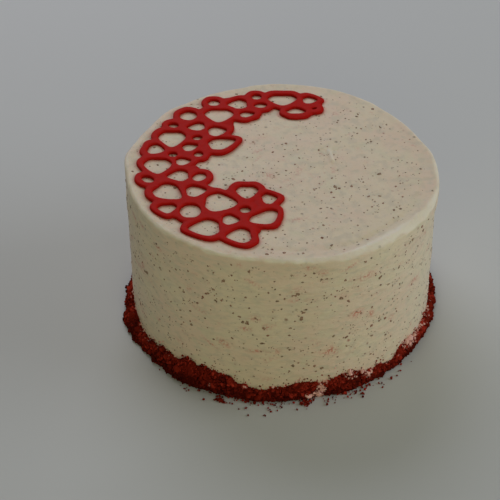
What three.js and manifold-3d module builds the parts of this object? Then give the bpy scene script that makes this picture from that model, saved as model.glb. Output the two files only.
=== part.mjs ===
// A small round red velvet cake: sponge under one thick coat of icing, a band of cake crumbs round
// its foot, and a crescent of piped hearts on its top.
// Millimetres, +Z up, origin at the centre of the foot. The front, with most of the hearts, faces -Y.

import * as THREE from 'three'
import { mergeVertices } from 'three/addons/utils/BufferGeometryUtils.js'
import Module from 'manifold-3d'

const wasm = await Module()
wasm.setup()

// Driving dimensions of the iced cake. Its top falls a little to +X, and its wall leans that way.
const rimRadius = 80
const shoulderRadius = 80.3
const footRadius = 79.9
const cakeHeight = 87.3
const topFall = THREE.MathUtils.degToRad(2.4)
const rimRound = 1.5
const rimDepth = 8
const shoulderDepth = 16
const footLean = -0.4
const topLean = 1.2
const rimLean = 1.3

// How far the hand-smoothed icing strays from the plain form
const wallSway = 0.2
const topSway = 0.15

// Rings of the turned forms: steps round the axis, a ring low on the wall, and rings on the flat top
const turnSteps = 88
const lowRing = 40
const topRings = [60, 32]

// Driving dimensions of the crumb band
const gap = 0.3
const bandReach = 3.1
const crumbCount = 76
const crumbSizes = [1.5, 2.7]
const crumbSink = 0.1
const crumbStretch = [0.8, 1.4]
const crumbSeed = 7

// Driving dimensions of the piped hearts
const strandWidth = 3.9
const strandHeight = 1.7
const strandRound = 0.75
const openingEase = 0.2
const stepLength = 2.8
const fewestSteps = 8

// How far the rim strays from its circle, against the angle round the cake in degrees from +X
const rimStrays = [
  [0, 0.8], [8, 0.6], [20, -1.3], [42, -1.1], [50, 0.2], [67, 1.2], [90, 1], [97, 0.4], [104, -1.2],
  [128, -1.3], [136, 0.1], [152, -1.2], [160, -0.5], [172, 1.5], [185, -0.2], [206, 0], [222, 0.4],
  [240, 0], [264, -1.8], [276, -0.8], [290, 0.8], [310, 0.6], [342, 1.8],
]

// Height of the crumb band against the angle round the foot
const bandHeights = [
  [0, 5.5], [25, 7.5], [50, 5], [75, 9], [100, 6], [125, 8.5], [150, 5.5], [172, 7.5],
  [190, 7], [203, 4.5], [212, 6], [219, 10.5], [225, 8.5], [232, 12.5], [247, 12.5], [252, 7],
  [260, 4.5], [270, 7.5], [278, 9.5], [286, 7.5], [293, 10.5], [301, 6], [313, 3.8], [321, 9],
  [331, 6], [345, 5],
]

// How far the crumb band reaches out past its usual reach, against the same angle
const bandSwells = [
  [0, -0.4], [40, 0.3], [90, 0.2], [140, 0.4], [176, 0.2], [192, 2.2], [203, 1.2], [222, 1.1],
  [238, 0.7], [252, 0], [268, -0.2], [282, -1.2], [290, 0.1], [305, -1], [330, -1.2], [343, -0.5],
]

// Piped hearts: centre x, centre y, width across, length along, and the way the point faces.
// Width and length are those of the opening inside the strand.
const hearts = [
  [-20.6, 57.8, 9.6, 10.6, 184],
  [4.3, 61.9, 15.8, 11.2, 270],
  [19.4, 61.9, 7, 7.8, 0],
  [11.1, 51.5, 10.7, 5.8, 90],
  [-15, 47.8, 5.4, 7.8, 12],
  [-30.4, 46.4, 15.4, 12.2, 268],
  [-42.8, 36, 7.6, 9.4, 187],
  [-55.2, 24.3, 14.2, 15, 270],
  [-31.2, 31.8, 9.4, 9.6, 12],
  [-28.7, 20.8, 10.8, 14.8, 22],
  [-63.1, 14.9, 9.4, 8.6, 342],
  [-45.4, 17.3, 7.2, 8.2, 25],
  [-62.2, -0.4, 14.2, 13.6, 270],
  [-49, 4, 7, 7.6, 10],
  [-52, -8.8, 10, 10.9, 186],
  [-56, -23.5, 13.6, 15.4, 320],
  [-42.2, -22.1, 10, 10.2, 8],
  [-56.7, -37.2, 9.6, 7.8, 275],
  [-16.8, -23.5, 11.2, 11, 270],
  [-5.5, -28.8, 9.4, 7.4, 10],
  [-29.7, -32.1, 16, 16, 354],
  [-25.1, -46.6, 8.6, 8.4, 355],
  [-8.3, -45.1, 16, 10.8, 303],
  [-38.8, -52.9, 13.4, 15.2, 183],
  [-21.9, -59.4, 12, 12, 186],
]

// Rounded openings left between the hearts: centre x, centre y, length, width and turn
const gaps = [
  [-33, 58.9, 6.4, 6, 0],
  [21.2, 53.1, 2.8, 1.6, 20],
  [-9.8, 65, 5.3, 5.4, 0],
  [-7.8, 56.5, 7, 4.7, 3],
  [-46.8, 46.6, 9.2, 9, -20],
  [-54.6, 37.2, 5.4, 4.4, -20],
  [-41.9, 25.5, 5.2, 4, 0],
  [-54.6, 9.9, 4.7, 4.4, 0],
  [-41.4, 10.4, 4.8, 4.6, 60],
  [-67, -12, 7.2, 4.8, -40],
  [-40.9, -10, 8, 6.4, 50],
  [-45.3, -39, 10.4, 11.8, 0],
  [-18, -38.4, 5.5, 5.6, 10],
]

// Dabs where strands run together: centre x, centre y, length, width and turn
const dabs = [
  [-12.5, -34.3, 8, 5, 60],
  [-13.9, -31.6, 9, 3, 40],
  [-25.8, 38.6, 8.4, 5.6, 40],
  [-23.6, 35.3, 7.5, 3.2, 85],
  [-11, 44.7, 7, 3.4, 30],
  [-25, 63, 9, 3.4, 12],
  [24.2, 57.6, 5, 3.6, 60],
  [12, 45, 13, 4, 4],
  [-43.2, -1.7, 5, 3.8, 20],
  [-33.4, -20.5, 11, 3.6, -6],
  [-26, -22.1, 4, 3, 60],
  [-12.8, -55.4, 5, 3.6, 20],
  [-55, -42.9, 10, 3, -14],
  [-48.2, -50.9, 4.6, 3.8, 60],
]

// Unit heart, its point at +X: half of its outline, mirrored below. An opening that is no heart is round.
const heartHalf = [[0.5, 0], [0.22, 0.33], [-0.17, 0.5], [-0.47, 0.3]]
const heartNotch = [-0.49, 0]
const ringPoints = 6

// A repeatable sequence of numbers from 0 to 1, by a common integer mixing rule
const seeded = seed => {
  let state = seed
  return () => {
    state = (state + 0x6d2b79f5) | 0
    let mixed = Math.imul(state ^ (state >>> 15), 1 | state)
    mixed = (mixed + Math.imul(mixed ^ (mixed >>> 7), 61 | mixed)) ^ mixed
    return ((mixed ^ (mixed >>> 14)) >>> 0) / 4294967296
  }
}

const degrees = angle => THREE.MathUtils.euclideanModulo(THREE.MathUtils.radToDeg(angle), 360)

// Value at an angle from a closed table of [degrees, value] rows, eased between neighbours
const aroundTable = (table, angle) => {
  const here = degrees(angle)
  const next = table.findIndex(([at]) => at > here)
  const [toAngle, toValue] = next < 0 ? [360, table[0][1]] : table[next]
  const [fromAngle, fromValue] = next < 0 ? table.at(-1) : table[next - 1]
  const share = THREE.MathUtils.smoothstep(here, fromAngle, toAngle)
  return THREE.MathUtils.lerp(fromValue, toValue, share)
}

// The hand-smoothed wall wanders a little round the cake, and its rim goes its own way
const wallWander = (angle, z) => {
  const lean = THREE.MathUtils.lerp(footLean, topLean, z / cakeHeight)
  const sway = wallSway * (Math.sin(3 * angle - 0.6) + 0.7 * Math.sin(5 * angle - 0.7))
  return lean * Math.cos(angle) + sway
}
const rimWander = angle => rimLean * Math.cos(angle) + aroundTable(rimStrays, angle)
const wallRadius = z => THREE.MathUtils.lerp(footRadius, shoulderRadius, z / cakeHeight)
const bandReachAt = angle => bandReach + aroundTable(bandSwells, angle)

// Height of the top: a plane that falls to +X, with slow waves left by the spatula
const topHeight = (x, y) => {
  const waves = Math.sin(x / 17 + 0.7) * Math.cos(y / 21 - 0.4)
  return cakeHeight - x * Math.tan(topFall) + topSway * waves
}

// A geometry's positions as one closed solid
const solid = geometry => {
  const bare = geometry.clone()
  bare.deleteAttribute('normal')
  bare.deleteAttribute('uv')
  const merged = mergeVertices(bare, 1e-3)
  const corners = []
  for (let i = 0; i < merged.index.count; i += 3) {
    const [a, b, c] = [0, 1, 2].map(k => merged.index.getX(i + k))
    if (a !== b && b !== c && c !== a) corners.push(a, b, c)
  }
  const vertProperties = new Float32Array(merged.attributes.position.array)
  return new wasm.Manifold(new wasm.Mesh({ numProp: 3, vertProperties, triVerts: new Uint32Array(corners) }))
}

// Solids joined into one, its flat faces made whole again
const joined = solids => solid(geometryOf(solids.reduce((whole, next) => whole.add(next))))

const geometryOf = manifold => {
  const { vertProperties, triVerts } = manifold.getMesh()
  const geometry = new THREE.BufferGeometry()
  geometry.setAttribute('position', new THREE.BufferAttribute(vertProperties, 3))
  geometry.setIndex(new THREE.BufferAttribute(triVerts, 1))
  geometry.computeVertexNormals()
  return geometry
}

// Moves every vertex of a geometry by a rule
const reshaped = (geometry, rule) => {
  const place = geometry.attributes.position
  const point = new THREE.Vector3()
  for (let i = 0; i < place.count; i++) {
    rule(point.fromBufferAttribute(place, i))
    place.setXYZ(i, point.x, point.y, point.z)
  }
  return geometry
}

// A profile of [radius, height] points turned round the Z axis
const turned = profile => {
  const points = profile.map(([radius, z]) => new THREE.Vector2(radius, z))
  return new THREE.LatheGeometry(points, turnSteps).rotateX(Math.PI / 2)
}

// Pushes a point of a turned form out from the axis by an amount worked out from its angle
const pushOut = (point, reach) => {
  const radius = Math.hypot(point.x, point.y)
  if (radius > 0) point.multiply(new THREE.Vector3(1 + reach / radius, 1 + reach / radius, 1))
}

// A block that takes away all that is below height zero
const belowZero = () => new THREE.BoxGeometry(220, 220, 20).translate(0, 0, -10)

// Icing over the whole cake: flat foot, nearly straight wall, and a rim that stands proud in places
const icedCake = () => {
  const rimArc = [0, 0.25, 0.5, 0.75, 1].map(share => {
    const angle = share * Math.PI / 2
    const radius = rimRadius - rimRound + rimRound * Math.cos(angle)
    return [radius, cakeHeight - rimRound + rimRound * Math.sin(angle)]
  })
  const shoulder = cakeHeight - shoulderDepth
  const profile = [
    [0, 0], [footRadius, 0], [wallRadius(lowRing), lowRing], [wallRadius(shoulder), shoulder],
    [rimRadius, cakeHeight - rimDepth], ...rimArc,
    ...topRings.map(radius => [radius, cakeHeight]), [0, cakeHeight],
  ]
  return reshaped(turned(profile), point => {
    const angle = Math.atan2(point.y, point.x)
    const onWall = THREE.MathUtils.smoothstep(Math.hypot(point.x, point.y), topRings[0], footRadius)
    const onRim = THREE.MathUtils.smoothstep(point.z, shoulder, cakeHeight - rimDepth)
    pushOut(point, onWall * THREE.MathUtils.lerp(wallWander(angle, point.z), rimWander(angle), onRim))
    point.z *= topHeight(point.x, point.y) / cakeHeight
  })
}

// The space that the icing's wall and its gap take near the foot
const wallRoom = () => {
  const below = -5
  const footRoom = footRadius + gap
  const profile = [
    [0, below], [footRoom, below], [footRoom, 0], [wallRadius(lowRing) + gap, lowRing], [0, lowRing],
  ]
  return reshaped(turned(profile), point =>
    pushOut(point, wallWander(Math.atan2(point.y, point.x), Math.max(0, point.z))))
}

// Band of crumbs round the foot: a low uneven bank with clumps of crumb fused to its face
const crumbBand = () => {
  // The bank's section, as shares of the reach beyond the foot's radius and of the height
  const section = [[-1, 0], [1, 0], [0.95, 0.35], [0.65, 0.75], [0.28, 1], [-1, 1], [-1, 0]]
  const bank = turned(section.map(([out, rise]) => [footRadius + out, rise]))
  reshaped(bank, point => {
    const angle = Math.atan2(point.y, point.x)
    const out = Math.hypot(point.x, point.y) - footRadius
    pushOut(point, out * (bandReachAt(angle) - 1) + wallWander(angle, 0))
    point.z *= aroundTable(bandHeights, angle)
  })
  const draw = seeded(crumbSeed)
  const turn = () => 2 * Math.PI * draw()
  const between = ([low, high]) => THREE.MathUtils.lerp(low, high, draw())
  const crumbs = Array.from({ length: crumbCount }, (_, i) => {
    const angle = 2 * Math.PI * (i + draw()) / crumbCount
    const climb = draw()
    // The bank's face draws in towards the wall as it climbs, and the crumbs follow it
    const out = (bandReachAt(angle) - crumbSink) * (1 - 0.7 * climb * climb)
    const radius = footRadius + wallWander(angle, 0) + out
    const height = climb * aroundTable(bandHeights, angle)
    const crumb = new THREE.OctahedronGeometry(between(crumbSizes))
    crumb.scale(1, between(crumbStretch), between(crumbStretch)).rotateX(turn()).rotateZ(turn())
    crumb.translate(radius * Math.cos(angle), radius * Math.sin(angle), height)
    return solid(crumb)
  })
  return joined([solid(bank), ...crumbs]).subtract(solid(wallRoom())).subtract(solid(belowZero()))
}

// Places unit plan points at a centre, stretched along and across a direction given in degrees
const placed = (points, [x, y], along, across, turn) => {
  const angle = THREE.MathUtils.degToRad(turn)
  return points.map(([u, v]) => [
    x + u * along * Math.cos(angle) - v * across * Math.sin(angle),
    y + u * along * Math.sin(angle) + v * across * Math.cos(angle),
  ])
}

// Smooth closed outline through a few plan points, as a flat shape
const outline = points => {
  const loop = new THREE.CatmullRomCurve3(points.map(([x, y]) => new THREE.Vector3(x, y, 0)), true)
  const steps = Math.max(fewestSteps, Math.round(loop.getLength() / stepLength))
  return new THREE.Shape(loop.getSpacedPoints(steps).slice(1).map(({ x, y }) => new THREE.Vector2(x, y)))
}

// A shape as high as the piping, its top edge rounded off, or spread for one that cuts an opening.
// It reaches below the piping's underside, where it is cut level with its neighbours.
const slab = (shape, rounding) => solid(new THREE.ExtrudeGeometry(shape, {
  depth: strandHeight, steps: 1, bevelEnabled: true, bevelSegments: 1,
  bevelThickness: strandRound, bevelSize: rounding, bevelOffset: -rounding,
}).translate(0, 0, -strandRound))

// Hearts piped side by side, their strands run together into one net with an opening in each heart
const heartLattice = () => {
  const unitHeart = [
    ...heartHalf, heartNotch, ...heartHalf.slice(1).reverse().map(([u, v]) => [u, -v]),
  ]
  const circle = new THREE.Path().absarc(0, 0, 0.5, 0, 2 * Math.PI)
  const unitRing = circle.getPoints(ringPoints).slice(1).map(point => point.toArray())
  const cells = [
    ...hearts.map(([x, y, width, length, turn]) => [unitHeart, [x, y], length, width, turn]),
    ...gaps.map(([x, y, length, width, turn]) => [unitRing, [x, y], length, width, turn]),
  ]
  const grown = (cell, margin) => {
    const [unit, centre, length, width, turn] = cell
    return outline(placed(unit, centre, length + 2 * margin, width + 2 * margin, turn))
  }
  const filled = cells.map(cell => slab(grown(cell, strandWidth), strandRound))
  const bridges = dabs.map(([x, y, length, width, turn]) =>
    slab(outline(placed(unitRing, [x, y], length, width, turn)), strandRound))
  const openings = cells.map(cell => slab(grown(cell, openingEase), -strandRound))
  const net = joined([...filled, ...bridges]).subtract(joined(openings)).subtract(solid(belowZero()))
  return reshaped(geometryOf(net), point => {
    point.z += gap + topHeight(point.x, point.y)
  })
}

const part = (name, geometry, color, roughness) => {
  const mesh = new THREE.Mesh(geometry, new THREE.MeshStandardMaterial({ color, roughness, metalness: 0 }))
  mesh.name = name
  return mesh
}

const cake = new THREE.Group()
cake.name = 'red_velvet_cake'
cake.add(part('iced_cake', geometryOf(solid(icedCake())), '#cfc4a8', 0.6))
cake.add(part('crumb_band', geometryOf(crumbBand()), '#6b120d', 0.9))
cake.add(part('heart_lattice', heartLattice(), '#b3161a', 0.45))

export default cake
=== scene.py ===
"""A small round red velvet cake: speckled icing, a crescent of piped hearts, and cake crumbs round its foot.

Shapes are worked out in millimetres, as in the solids, and go into the meshes in metres.
"""

import logging
import math
from dataclasses import dataclass, field
from enum import Enum

import bpy
import numpy as np
from mathutils import Matrix


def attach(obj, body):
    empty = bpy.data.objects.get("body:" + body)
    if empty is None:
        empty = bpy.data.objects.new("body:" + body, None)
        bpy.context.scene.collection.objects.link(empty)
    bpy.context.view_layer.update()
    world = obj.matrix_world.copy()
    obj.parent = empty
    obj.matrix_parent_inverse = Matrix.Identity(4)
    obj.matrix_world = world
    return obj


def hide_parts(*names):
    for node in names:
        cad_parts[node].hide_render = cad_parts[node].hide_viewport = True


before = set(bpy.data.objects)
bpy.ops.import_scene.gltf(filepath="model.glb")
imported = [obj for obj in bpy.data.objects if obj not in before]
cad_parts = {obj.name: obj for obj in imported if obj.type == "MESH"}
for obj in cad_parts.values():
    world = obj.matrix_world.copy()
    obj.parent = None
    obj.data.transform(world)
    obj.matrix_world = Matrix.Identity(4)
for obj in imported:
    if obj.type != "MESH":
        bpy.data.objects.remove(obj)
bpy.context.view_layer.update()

log = logging.getLogger("cake")

METRES = 0.001
BODY = "root"
PHOTO_WIDTH = 500

# How far the rim strays from its circle, against the angle round the cake in degrees from +X
RIM_STRAYS = np.array([
    [0, 0.8], [8, 0.6], [20, -1.3], [42, -1.1], [50, 0.2], [67, 1.2], [90, 1], [97, 0.4], [104, -1.2],
    [128, -1.3], [136, 0.1], [152, -1.2], [160, -0.5], [172, 1.5], [185, -0.2], [206, 0], [222, 0.4],
    [240, 0], [264, -1.8], [276, -0.8], [290, 0.8], [310, 0.6], [342, 1.8],
])

# Height of the crumb band against the angle round the foot
BAND_HEIGHTS = np.array([
    [0, 5.5], [25, 7.5], [50, 5], [75, 9], [100, 6], [125, 8.5], [150, 5.5], [172, 7.5],
    [190, 7], [203, 4.5], [212, 6], [219, 10.5], [225, 8.5], [232, 12.5], [247, 12.5], [252, 7],
    [260, 4.5], [270, 7.5], [278, 9.5], [286, 7.5], [293, 10.5], [301, 6], [313, 3.8], [321, 9],
    [331, 6], [345, 5],
])

# How far the crumb band reaches out past its usual reach, against the same angle
BAND_SWELLS = np.array([
    [0, -0.4], [40, 0.3], [90, 0.2], [140, 0.4], [176, 0.2], [192, 2.2], [203, 1.2], [222, 1.1],
    [238, 0.7], [252, 0], [268, -0.2], [282, -1.2], [290, 0.1], [305, -1], [330, -1.2], [343, -0.5],
])

# Piped hearts: centre x, centre y, width across, length along, and the way the point faces.
# Width and length are those of the opening inside the strand.
HEARTS = np.array([
    [-20.6, 57.8, 9.6, 10.6, 184], [4.3, 61.9, 15.8, 11.2, 270], [19.4, 61.9, 7, 7.8, 0],
    [11.1, 51.5, 10.7, 5.8, 90], [-15, 47.8, 5.4, 7.8, 12], [-30.4, 46.4, 15.4, 12.2, 268],
    [-42.8, 36, 7.6, 9.4, 187], [-55.2, 24.3, 14.2, 15, 270], [-31.2, 31.8, 9.4, 9.6, 12],
    [-28.7, 20.8, 10.8, 14.8, 22], [-63.1, 14.9, 9.4, 8.6, 342], [-45.4, 17.3, 7.2, 8.2, 25],
    [-62.2, -0.4, 14.2, 13.6, 270], [-49, 4, 7, 7.6, 10], [-52, -8.8, 10, 10.9, 186],
    [-56, -23.5, 13.6, 15.4, 320], [-42.2, -22.1, 10, 10.2, 8], [-56.7, -37.2, 9.6, 7.8, 275],
    [-16.8, -23.5, 11.2, 11, 270], [-5.5, -28.8, 9.4, 7.4, 10], [-29.7, -32.1, 16, 16, 354],
    [-25.1, -46.6, 8.6, 8.4, 355], [-8.3, -45.1, 16, 10.8, 303], [-38.8, -52.9, 13.4, 15.2, 183],
    [-21.9, -59.4, 12, 12, 186],
])

# Rounded openings left between the hearts: centre x, centre y, length, width and turn
GAPS = np.array([
    [-33, 58.9, 6.4, 6, 0], [21.2, 53.1, 2.8, 1.6, 20], [-9.8, 65, 5.3, 5.4, 0],
    [-7.8, 56.5, 7, 4.7, 3], [-46.8, 46.6, 9.2, 9, -20], [-54.6, 37.2, 5.4, 4.4, -20],
    [-41.9, 25.5, 5.2, 4, 0], [-54.6, 9.9, 4.7, 4.4, 0], [-41.4, 10.4, 4.8, 4.6, 60],
    [-67, -12, 7.2, 4.8, -40], [-40.9, -10, 8, 6.4, 50], [-45.3, -39, 10.4, 11.8, 0],
    [-18, -38.4, 5.5, 5.6, 10],
])

# Dabs where strands run together: centre x, centre y, length, width and turn
DABS = np.array([
    [-12.5, -34.3, 8, 5, 60], [-13.9, -31.6, 9, 3, 40], [-25.8, 38.6, 8.4, 5.6, 40],
    [-23.6, 35.3, 7.5, 3.2, 85], [-11, 44.7, 7, 3.4, 30], [-25, 63, 9, 3.4, 12],
    [24.2, 57.6, 5, 3.6, 60], [12, 45, 13, 4, 4], [-43.2, -1.7, 5, 3.8, 20],
    [-33.4, -20.5, 11, 3.6, -6], [-26, -22.1, 4, 3, 60], [-12.8, -55.4, 5, 3.6, 20],
    [-55, -42.9, 10, 3, -14], [-48.2, -50.9, 4.6, 3.8, 60],
])

# The larger specks on the wall: angle in degrees, height and half size in millimetres
WALL_SPOTS = np.array([
    [218, 69, 0.6], [231, 56, 0.95], [230, 36, 0.55], [236, 78, 0.55], [242, 78, 0.55], [243, 33, 0.7],
    [244, 65, 0.8], [245, 58, 0.6], [248, 72, 0.95], [251, 76, 0.65], [251, 53, 0.7], [256, 48, 1],
    [257, 58, 0.65], [259, 52, 0.6], [262, 46, 1.1], [262, 36, 0.7], [264, 69, 0.7], [267, 64, 0.8],
    [268, 68, 0.7], [271, 42, 0.8], [274, 23, 0.7], [273, 51, 0.6], [276, 75, 0.75], [277, 58, 0.7],
    [280, 20, 0.9], [287, 38, 0.9], [292, 35, 0.95], [292, 29, 0.7], [302, 22, 0.65], [306, 37, 0.85],
    [306, 61, 0.9], [315, 66, 0.85], [316, 54, 0.7], [315, 36, 0.7], [323, 54, 0.7], [324, 46, 0.9],
])

# The larger specks on the top: x, y and half size
TOP_SPOTS = np.array([
    [53, 54, 1.1], [73, -2, 0.8], [77, -22, 0.7], [56, -38, 0.9], [41, -61, 0.8], [-75, -4, 1],
    [23, -66, 0.9], [20, -50, 0.8], [19.5, -36, 0.7], [51, -32, 0.8], [50, -26, 0.9], [46, -29, 0.6],
    [9, -72, 0.7],
])

# The red smears on the wall: angle in degrees, height, half length, half width, and strength
SMEARS = np.array([
    [296, 48, 3, 1.8, 1.5], [302, 44, 2, 1.8, 0.9], [286, 29, 2.4, 2.2, 0.9], [255.5, 45, 2.6, 1.4, 0.9],
    [259, 52, 3, 1.5, 0.7], [273, 64, 2.5, 1.2, 0.6], [299, 70, 5, 2.5, 0.5], [312, 34, 2, 2, 0.6],
    [263, 47, 2, 1.6, 0.8],
])

# Painted light and shade on the crumbs at some sides: angle, its reach, and strength
CRUMB_PAINTED_LIGHT = np.array([[336, 13, 0.22], [270, 7, 0.14], [215, 30, -0.1]])

# Icing smeared over the crumbs: angle and its reach, share of the bank's height and its reach, and strength
ICED_PATCHES = np.array([
    [279.2, 3, 0.24, 0.17, 1.2], [293.5, 2, 0.95, 0.3, 0.7], [300.5, 2, 0.95, 0.4, 0.9],
    [323.5, 4, 0.85, 0.4, 0.7], [242, 1.6, 0.35, 0.2, 0.4],
])


def eased(share: np.ndarray) -> np.ndarray:
    """Share from 0 to 1 with a soft start and end: s * s * (3 - 2 s), held at 0 and 1 outside."""
    held = np.clip(share, 0.0, 1.0)
    return held * held * (3.0 - 2.0 * held)


def rise(value: np.ndarray, low: float, high: float) -> np.ndarray:
    """0 below low, 1 above high, and an eased climb between them."""
    return eased((value - low) / (high - low))


def swell(value: np.ndarray, middle: float, reach: float) -> np.ndarray:
    """A soft hump: exp(-((value - middle) / reach) ** 2)."""
    return np.exp(-(((value - middle) / reach) ** 2))


def turn_swell(angle: np.ndarray, middle: float, reach: float) -> np.ndarray:
    """A soft hump round the cake, all three in degrees: the angle's distance is taken the short way."""
    away = (np.degrees(angle) - middle + 180.0) % 360.0 - 180.0
    return np.exp(-((away / reach) ** 2))


def around(table: np.ndarray, angle: np.ndarray) -> np.ndarray:
    """Value at an angle from a closed table of rows, eased between neighbours.

    Args:
        table: Rows of degrees and value, by growing degrees, the first at 0.
        angle: Angles in radians.

    Returns:
        The value at each angle.
    """
    here = np.degrees(angle) % 360.0
    closed = np.vstack([table, [360.0, table[0, 1]]])
    after = np.clip(np.searchsorted(closed[:, 0], here, side="right"), 1, len(closed) - 1)
    start, end = closed[after - 1], closed[after]
    share = eased((here - start[..., 0]) / (end[..., 0] - start[..., 0]))
    return start[..., 1] + (end[..., 1] - start[..., 1]) * share


def polar(radius: np.ndarray | float, angle: np.ndarray, z: np.ndarray | float) -> np.ndarray:
    """Places, (..., 3), from a radius, an angle in radians and a height."""
    return np.stack(np.broadcast_arrays(radius * np.cos(angle), radius * np.sin(angle), z), axis=-1)


def pose(axes: list[np.ndarray], place: np.ndarray) -> Matrix:
    """The matrix of an object with these three axes, at a place in millimetres.

    Args:
        axes: The directions of its own X, Y and Z, each of length 1.
        place: Where its origin is.

    Returns:
        The matrix, in metres.
    """
    columns = np.eye(4)
    columns[:3, :3] = np.stack(axes, axis=-1)
    columns[:3, 3] = place * METRES
    return Matrix(columns.tolist())


@dataclass(frozen=True)
class Drift:
    """Smooth random numbers over space, from about -1 to 1, the same for the same seed."""

    seed: int
    cells: int = 32

    def at(self, points: np.ndarray, size: float, octaves: int = 1) -> np.ndarray:
        """Blends the random numbers at the eight corners of each point's cell, with eased shares.

        Args:
            points: Places, (..., 3), in millimetres.
            size: Width of a cell, in millimetres.
            octaves: How many layers are added, each half as wide and half as strong.

        Returns:
            One number for each point.
        """
        table = np.random.default_rng(self.seed).uniform(-1.0, 1.0, (self.cells,) * 3)
        total = np.zeros(points.shape[:-1])
        for octave in range(octaves):
            spot = points * (2.0 ** octave / size) + 17.3 * (octave + 1)
            corner = np.floor(spot).astype(int)
            share = eased(spot - corner)
            for step in np.ndindex(2, 2, 2):
                weight = np.prod(np.where(step, share, 1.0 - share), axis=-1)
                cell = (corner + step) % self.cells
                total += 0.5 ** octave * weight * table[cell[..., 0], cell[..., 1], cell[..., 2]]
        return total


@dataclass(frozen=True)
class CakeForm:
    """The iced cake's hand-smoothed form, in millimetres, by the same formulas as its solid.

    The radii are those of the rim, of the plain wall at its top and at the floor. The leans move these
    circles towards +X. Below the shoulder's depth the wall is plain, and above the rim's it follows the rim.
    """

    rim_radius: float = 80.0
    shoulder_radius: float = 80.3
    foot_radius: float = 79.9
    height: float = 87.3
    top_fall: float = math.radians(2.4)
    rim_depth: float = 8.0
    shoulder_depth: float = 16.0
    foot_lean: float = -0.4
    top_lean: float = 1.2
    rim_lean: float = 1.3
    wall_sway: float = 0.2
    top_sway: float = 0.15

    def wall_wander(self, angle: np.ndarray, z: np.ndarray) -> np.ndarray:
        """How far the wall strays out: a lean that grows with height, and waves of 3 and 5 to a turn.

        Args:
            angle: Angles round the cake, in radians.
            z: Heights.

        Returns:
            What is added to the plain wall's radius.
        """
        lean = self.foot_lean + (self.top_lean - self.foot_lean) * z / self.height
        waves = np.sin(3.0 * angle - 0.6) + 0.7 * np.sin(5.0 * angle - 0.7)
        return lean * np.cos(angle) + self.wall_sway * waves

    def edge_radius(self, angle: np.ndarray) -> np.ndarray:
        """Radius of the rim: its circle lies a little to +X, and it strays from that by its table."""
        return self.rim_radius + self.rim_lean * np.cos(angle) + around(RIM_STRAYS, angle)

    def side_radius(self, angle: np.ndarray, z: np.ndarray) -> np.ndarray:
        """Radius at a height: the plain wall, straight from foot to shoulder, eased into the rim's.

        Args:
            angle: Angles round the cake, in radians.
            z: Heights.

        Returns:
            The radius at each.
        """
        plain = self.foot_radius + (self.shoulder_radius - self.foot_radius) * z / self.height
        wall = plain + self.wall_wander(angle, z)
        share = rise(z, self.height - self.shoulder_depth, self.height - self.rim_depth)
        return wall + (self.edge_radius(angle) - wall) * share

    def top_height(self, x: np.ndarray, y: np.ndarray) -> np.ndarray:
        """Height of the top: a plane that falls to +X, with slow waves left by the spatula."""
        waves = np.sin(x / 17.0 + 0.7) * np.cos(y / 21.0 - 0.4)
        return self.height - x * math.tan(self.top_fall) + self.top_sway * waves

    def wall_point(self, angle: np.ndarray, z: np.ndarray, out: np.ndarray | float = 0.0) -> np.ndarray:
        """Places on the wall, out millimetres proud of it."""
        return polar(self.side_radius(angle, z) + out, angle, z)


FORM = CakeForm()


def ring_faces(rings: int, steps: int, closed_rings: bool = False) -> np.ndarray:
    """Four-sided faces of a grid of rings, each ring closed on itself.

    Faces point away from the axis where the steps run anticlockwise and the rings upwards.

    Args:
        rings: Number of rings.
        steps: Points in a ring.
        closed_rings: Whether the last ring meets the first.

    Returns:
        Vertex numbers, (faces, 4).
    """
    ring = np.arange(rings if closed_rings else rings - 1)[:, None]
    step = np.arange(steps)[None, :]
    above = (ring + 1) % rings
    beside = (step + 1) % steps
    corners = [ring * steps + step, ring * steps + beside, above * steps + beside, above * steps + step]
    return np.stack(np.broadcast_arrays(*corners), axis=-1).reshape(-1, 4)


def pole_faces(pole: int, first: int, steps: int, up: bool) -> np.ndarray:
    """Three-sided faces that close a ring on one point.

    Args:
        pole: Number of the closing vertex.
        first: Number of the ring's first vertex.
        steps: Points in the ring.
        up: Whether the faces look up.

    Returns:
        Vertex numbers, (faces, 3).
    """
    here = first + np.arange(steps)
    beside = first + (np.arange(steps) + 1) % steps
    pair = [here, beside] if up else [beside, here]
    return np.stack([np.full(steps, pole), *pair], axis=-1)


def mesh_piece(name: str, points: np.ndarray, faces: list[np.ndarray],
               smooth: bool = True) -> bpy.types.Object:
    """An object at the origin with a mesh of the given points and faces.

    Args:
        name: The piece's name.
        points: Places, (vertices, 3), in millimetres.
        faces: Arrays of vertex numbers, one array for each number of corners.
        smooth: Whether the faces are shaded as one soft surface.

    Returns:
        The new object, in the scene.
    """
    mesh = bpy.data.meshes.new(name)
    corners = np.concatenate([part.ravel() for part in faces]).astype(np.int32)
    sizes = np.concatenate([np.full(len(part), part.shape[1]) for part in faces])
    starts = np.concatenate([[0], np.cumsum(sizes)[:-1]]).astype(np.int32)
    mesh.vertices.add(len(points))
    mesh.vertices.foreach_set("co", (points * METRES).astype(np.float32).ravel())
    mesh.loops.add(len(corners))
    mesh.loops.foreach_set("vertex_index", corners)
    mesh.polygons.add(len(starts))
    mesh.polygons.foreach_set("loop_start", starts)
    mesh.polygons.foreach_set("use_smooth", np.full(len(starts), smooth))
    mesh.update(calc_edges=True)
    mesh.validate()
    piece = bpy.data.objects.new(name, mesh)
    bpy.context.scene.collection.objects.link(piece)
    return piece


def paint(piece: bpy.types.Object, name: str, values: np.ndarray) -> None:
    """Stores one number for each vertex as an attribute, for the piece's material to read."""
    layer = piece.data.attributes.new(name, "FLOAT", "POINT")
    layer.data.foreach_set("value", values.astype(np.float32).ravel())


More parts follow.
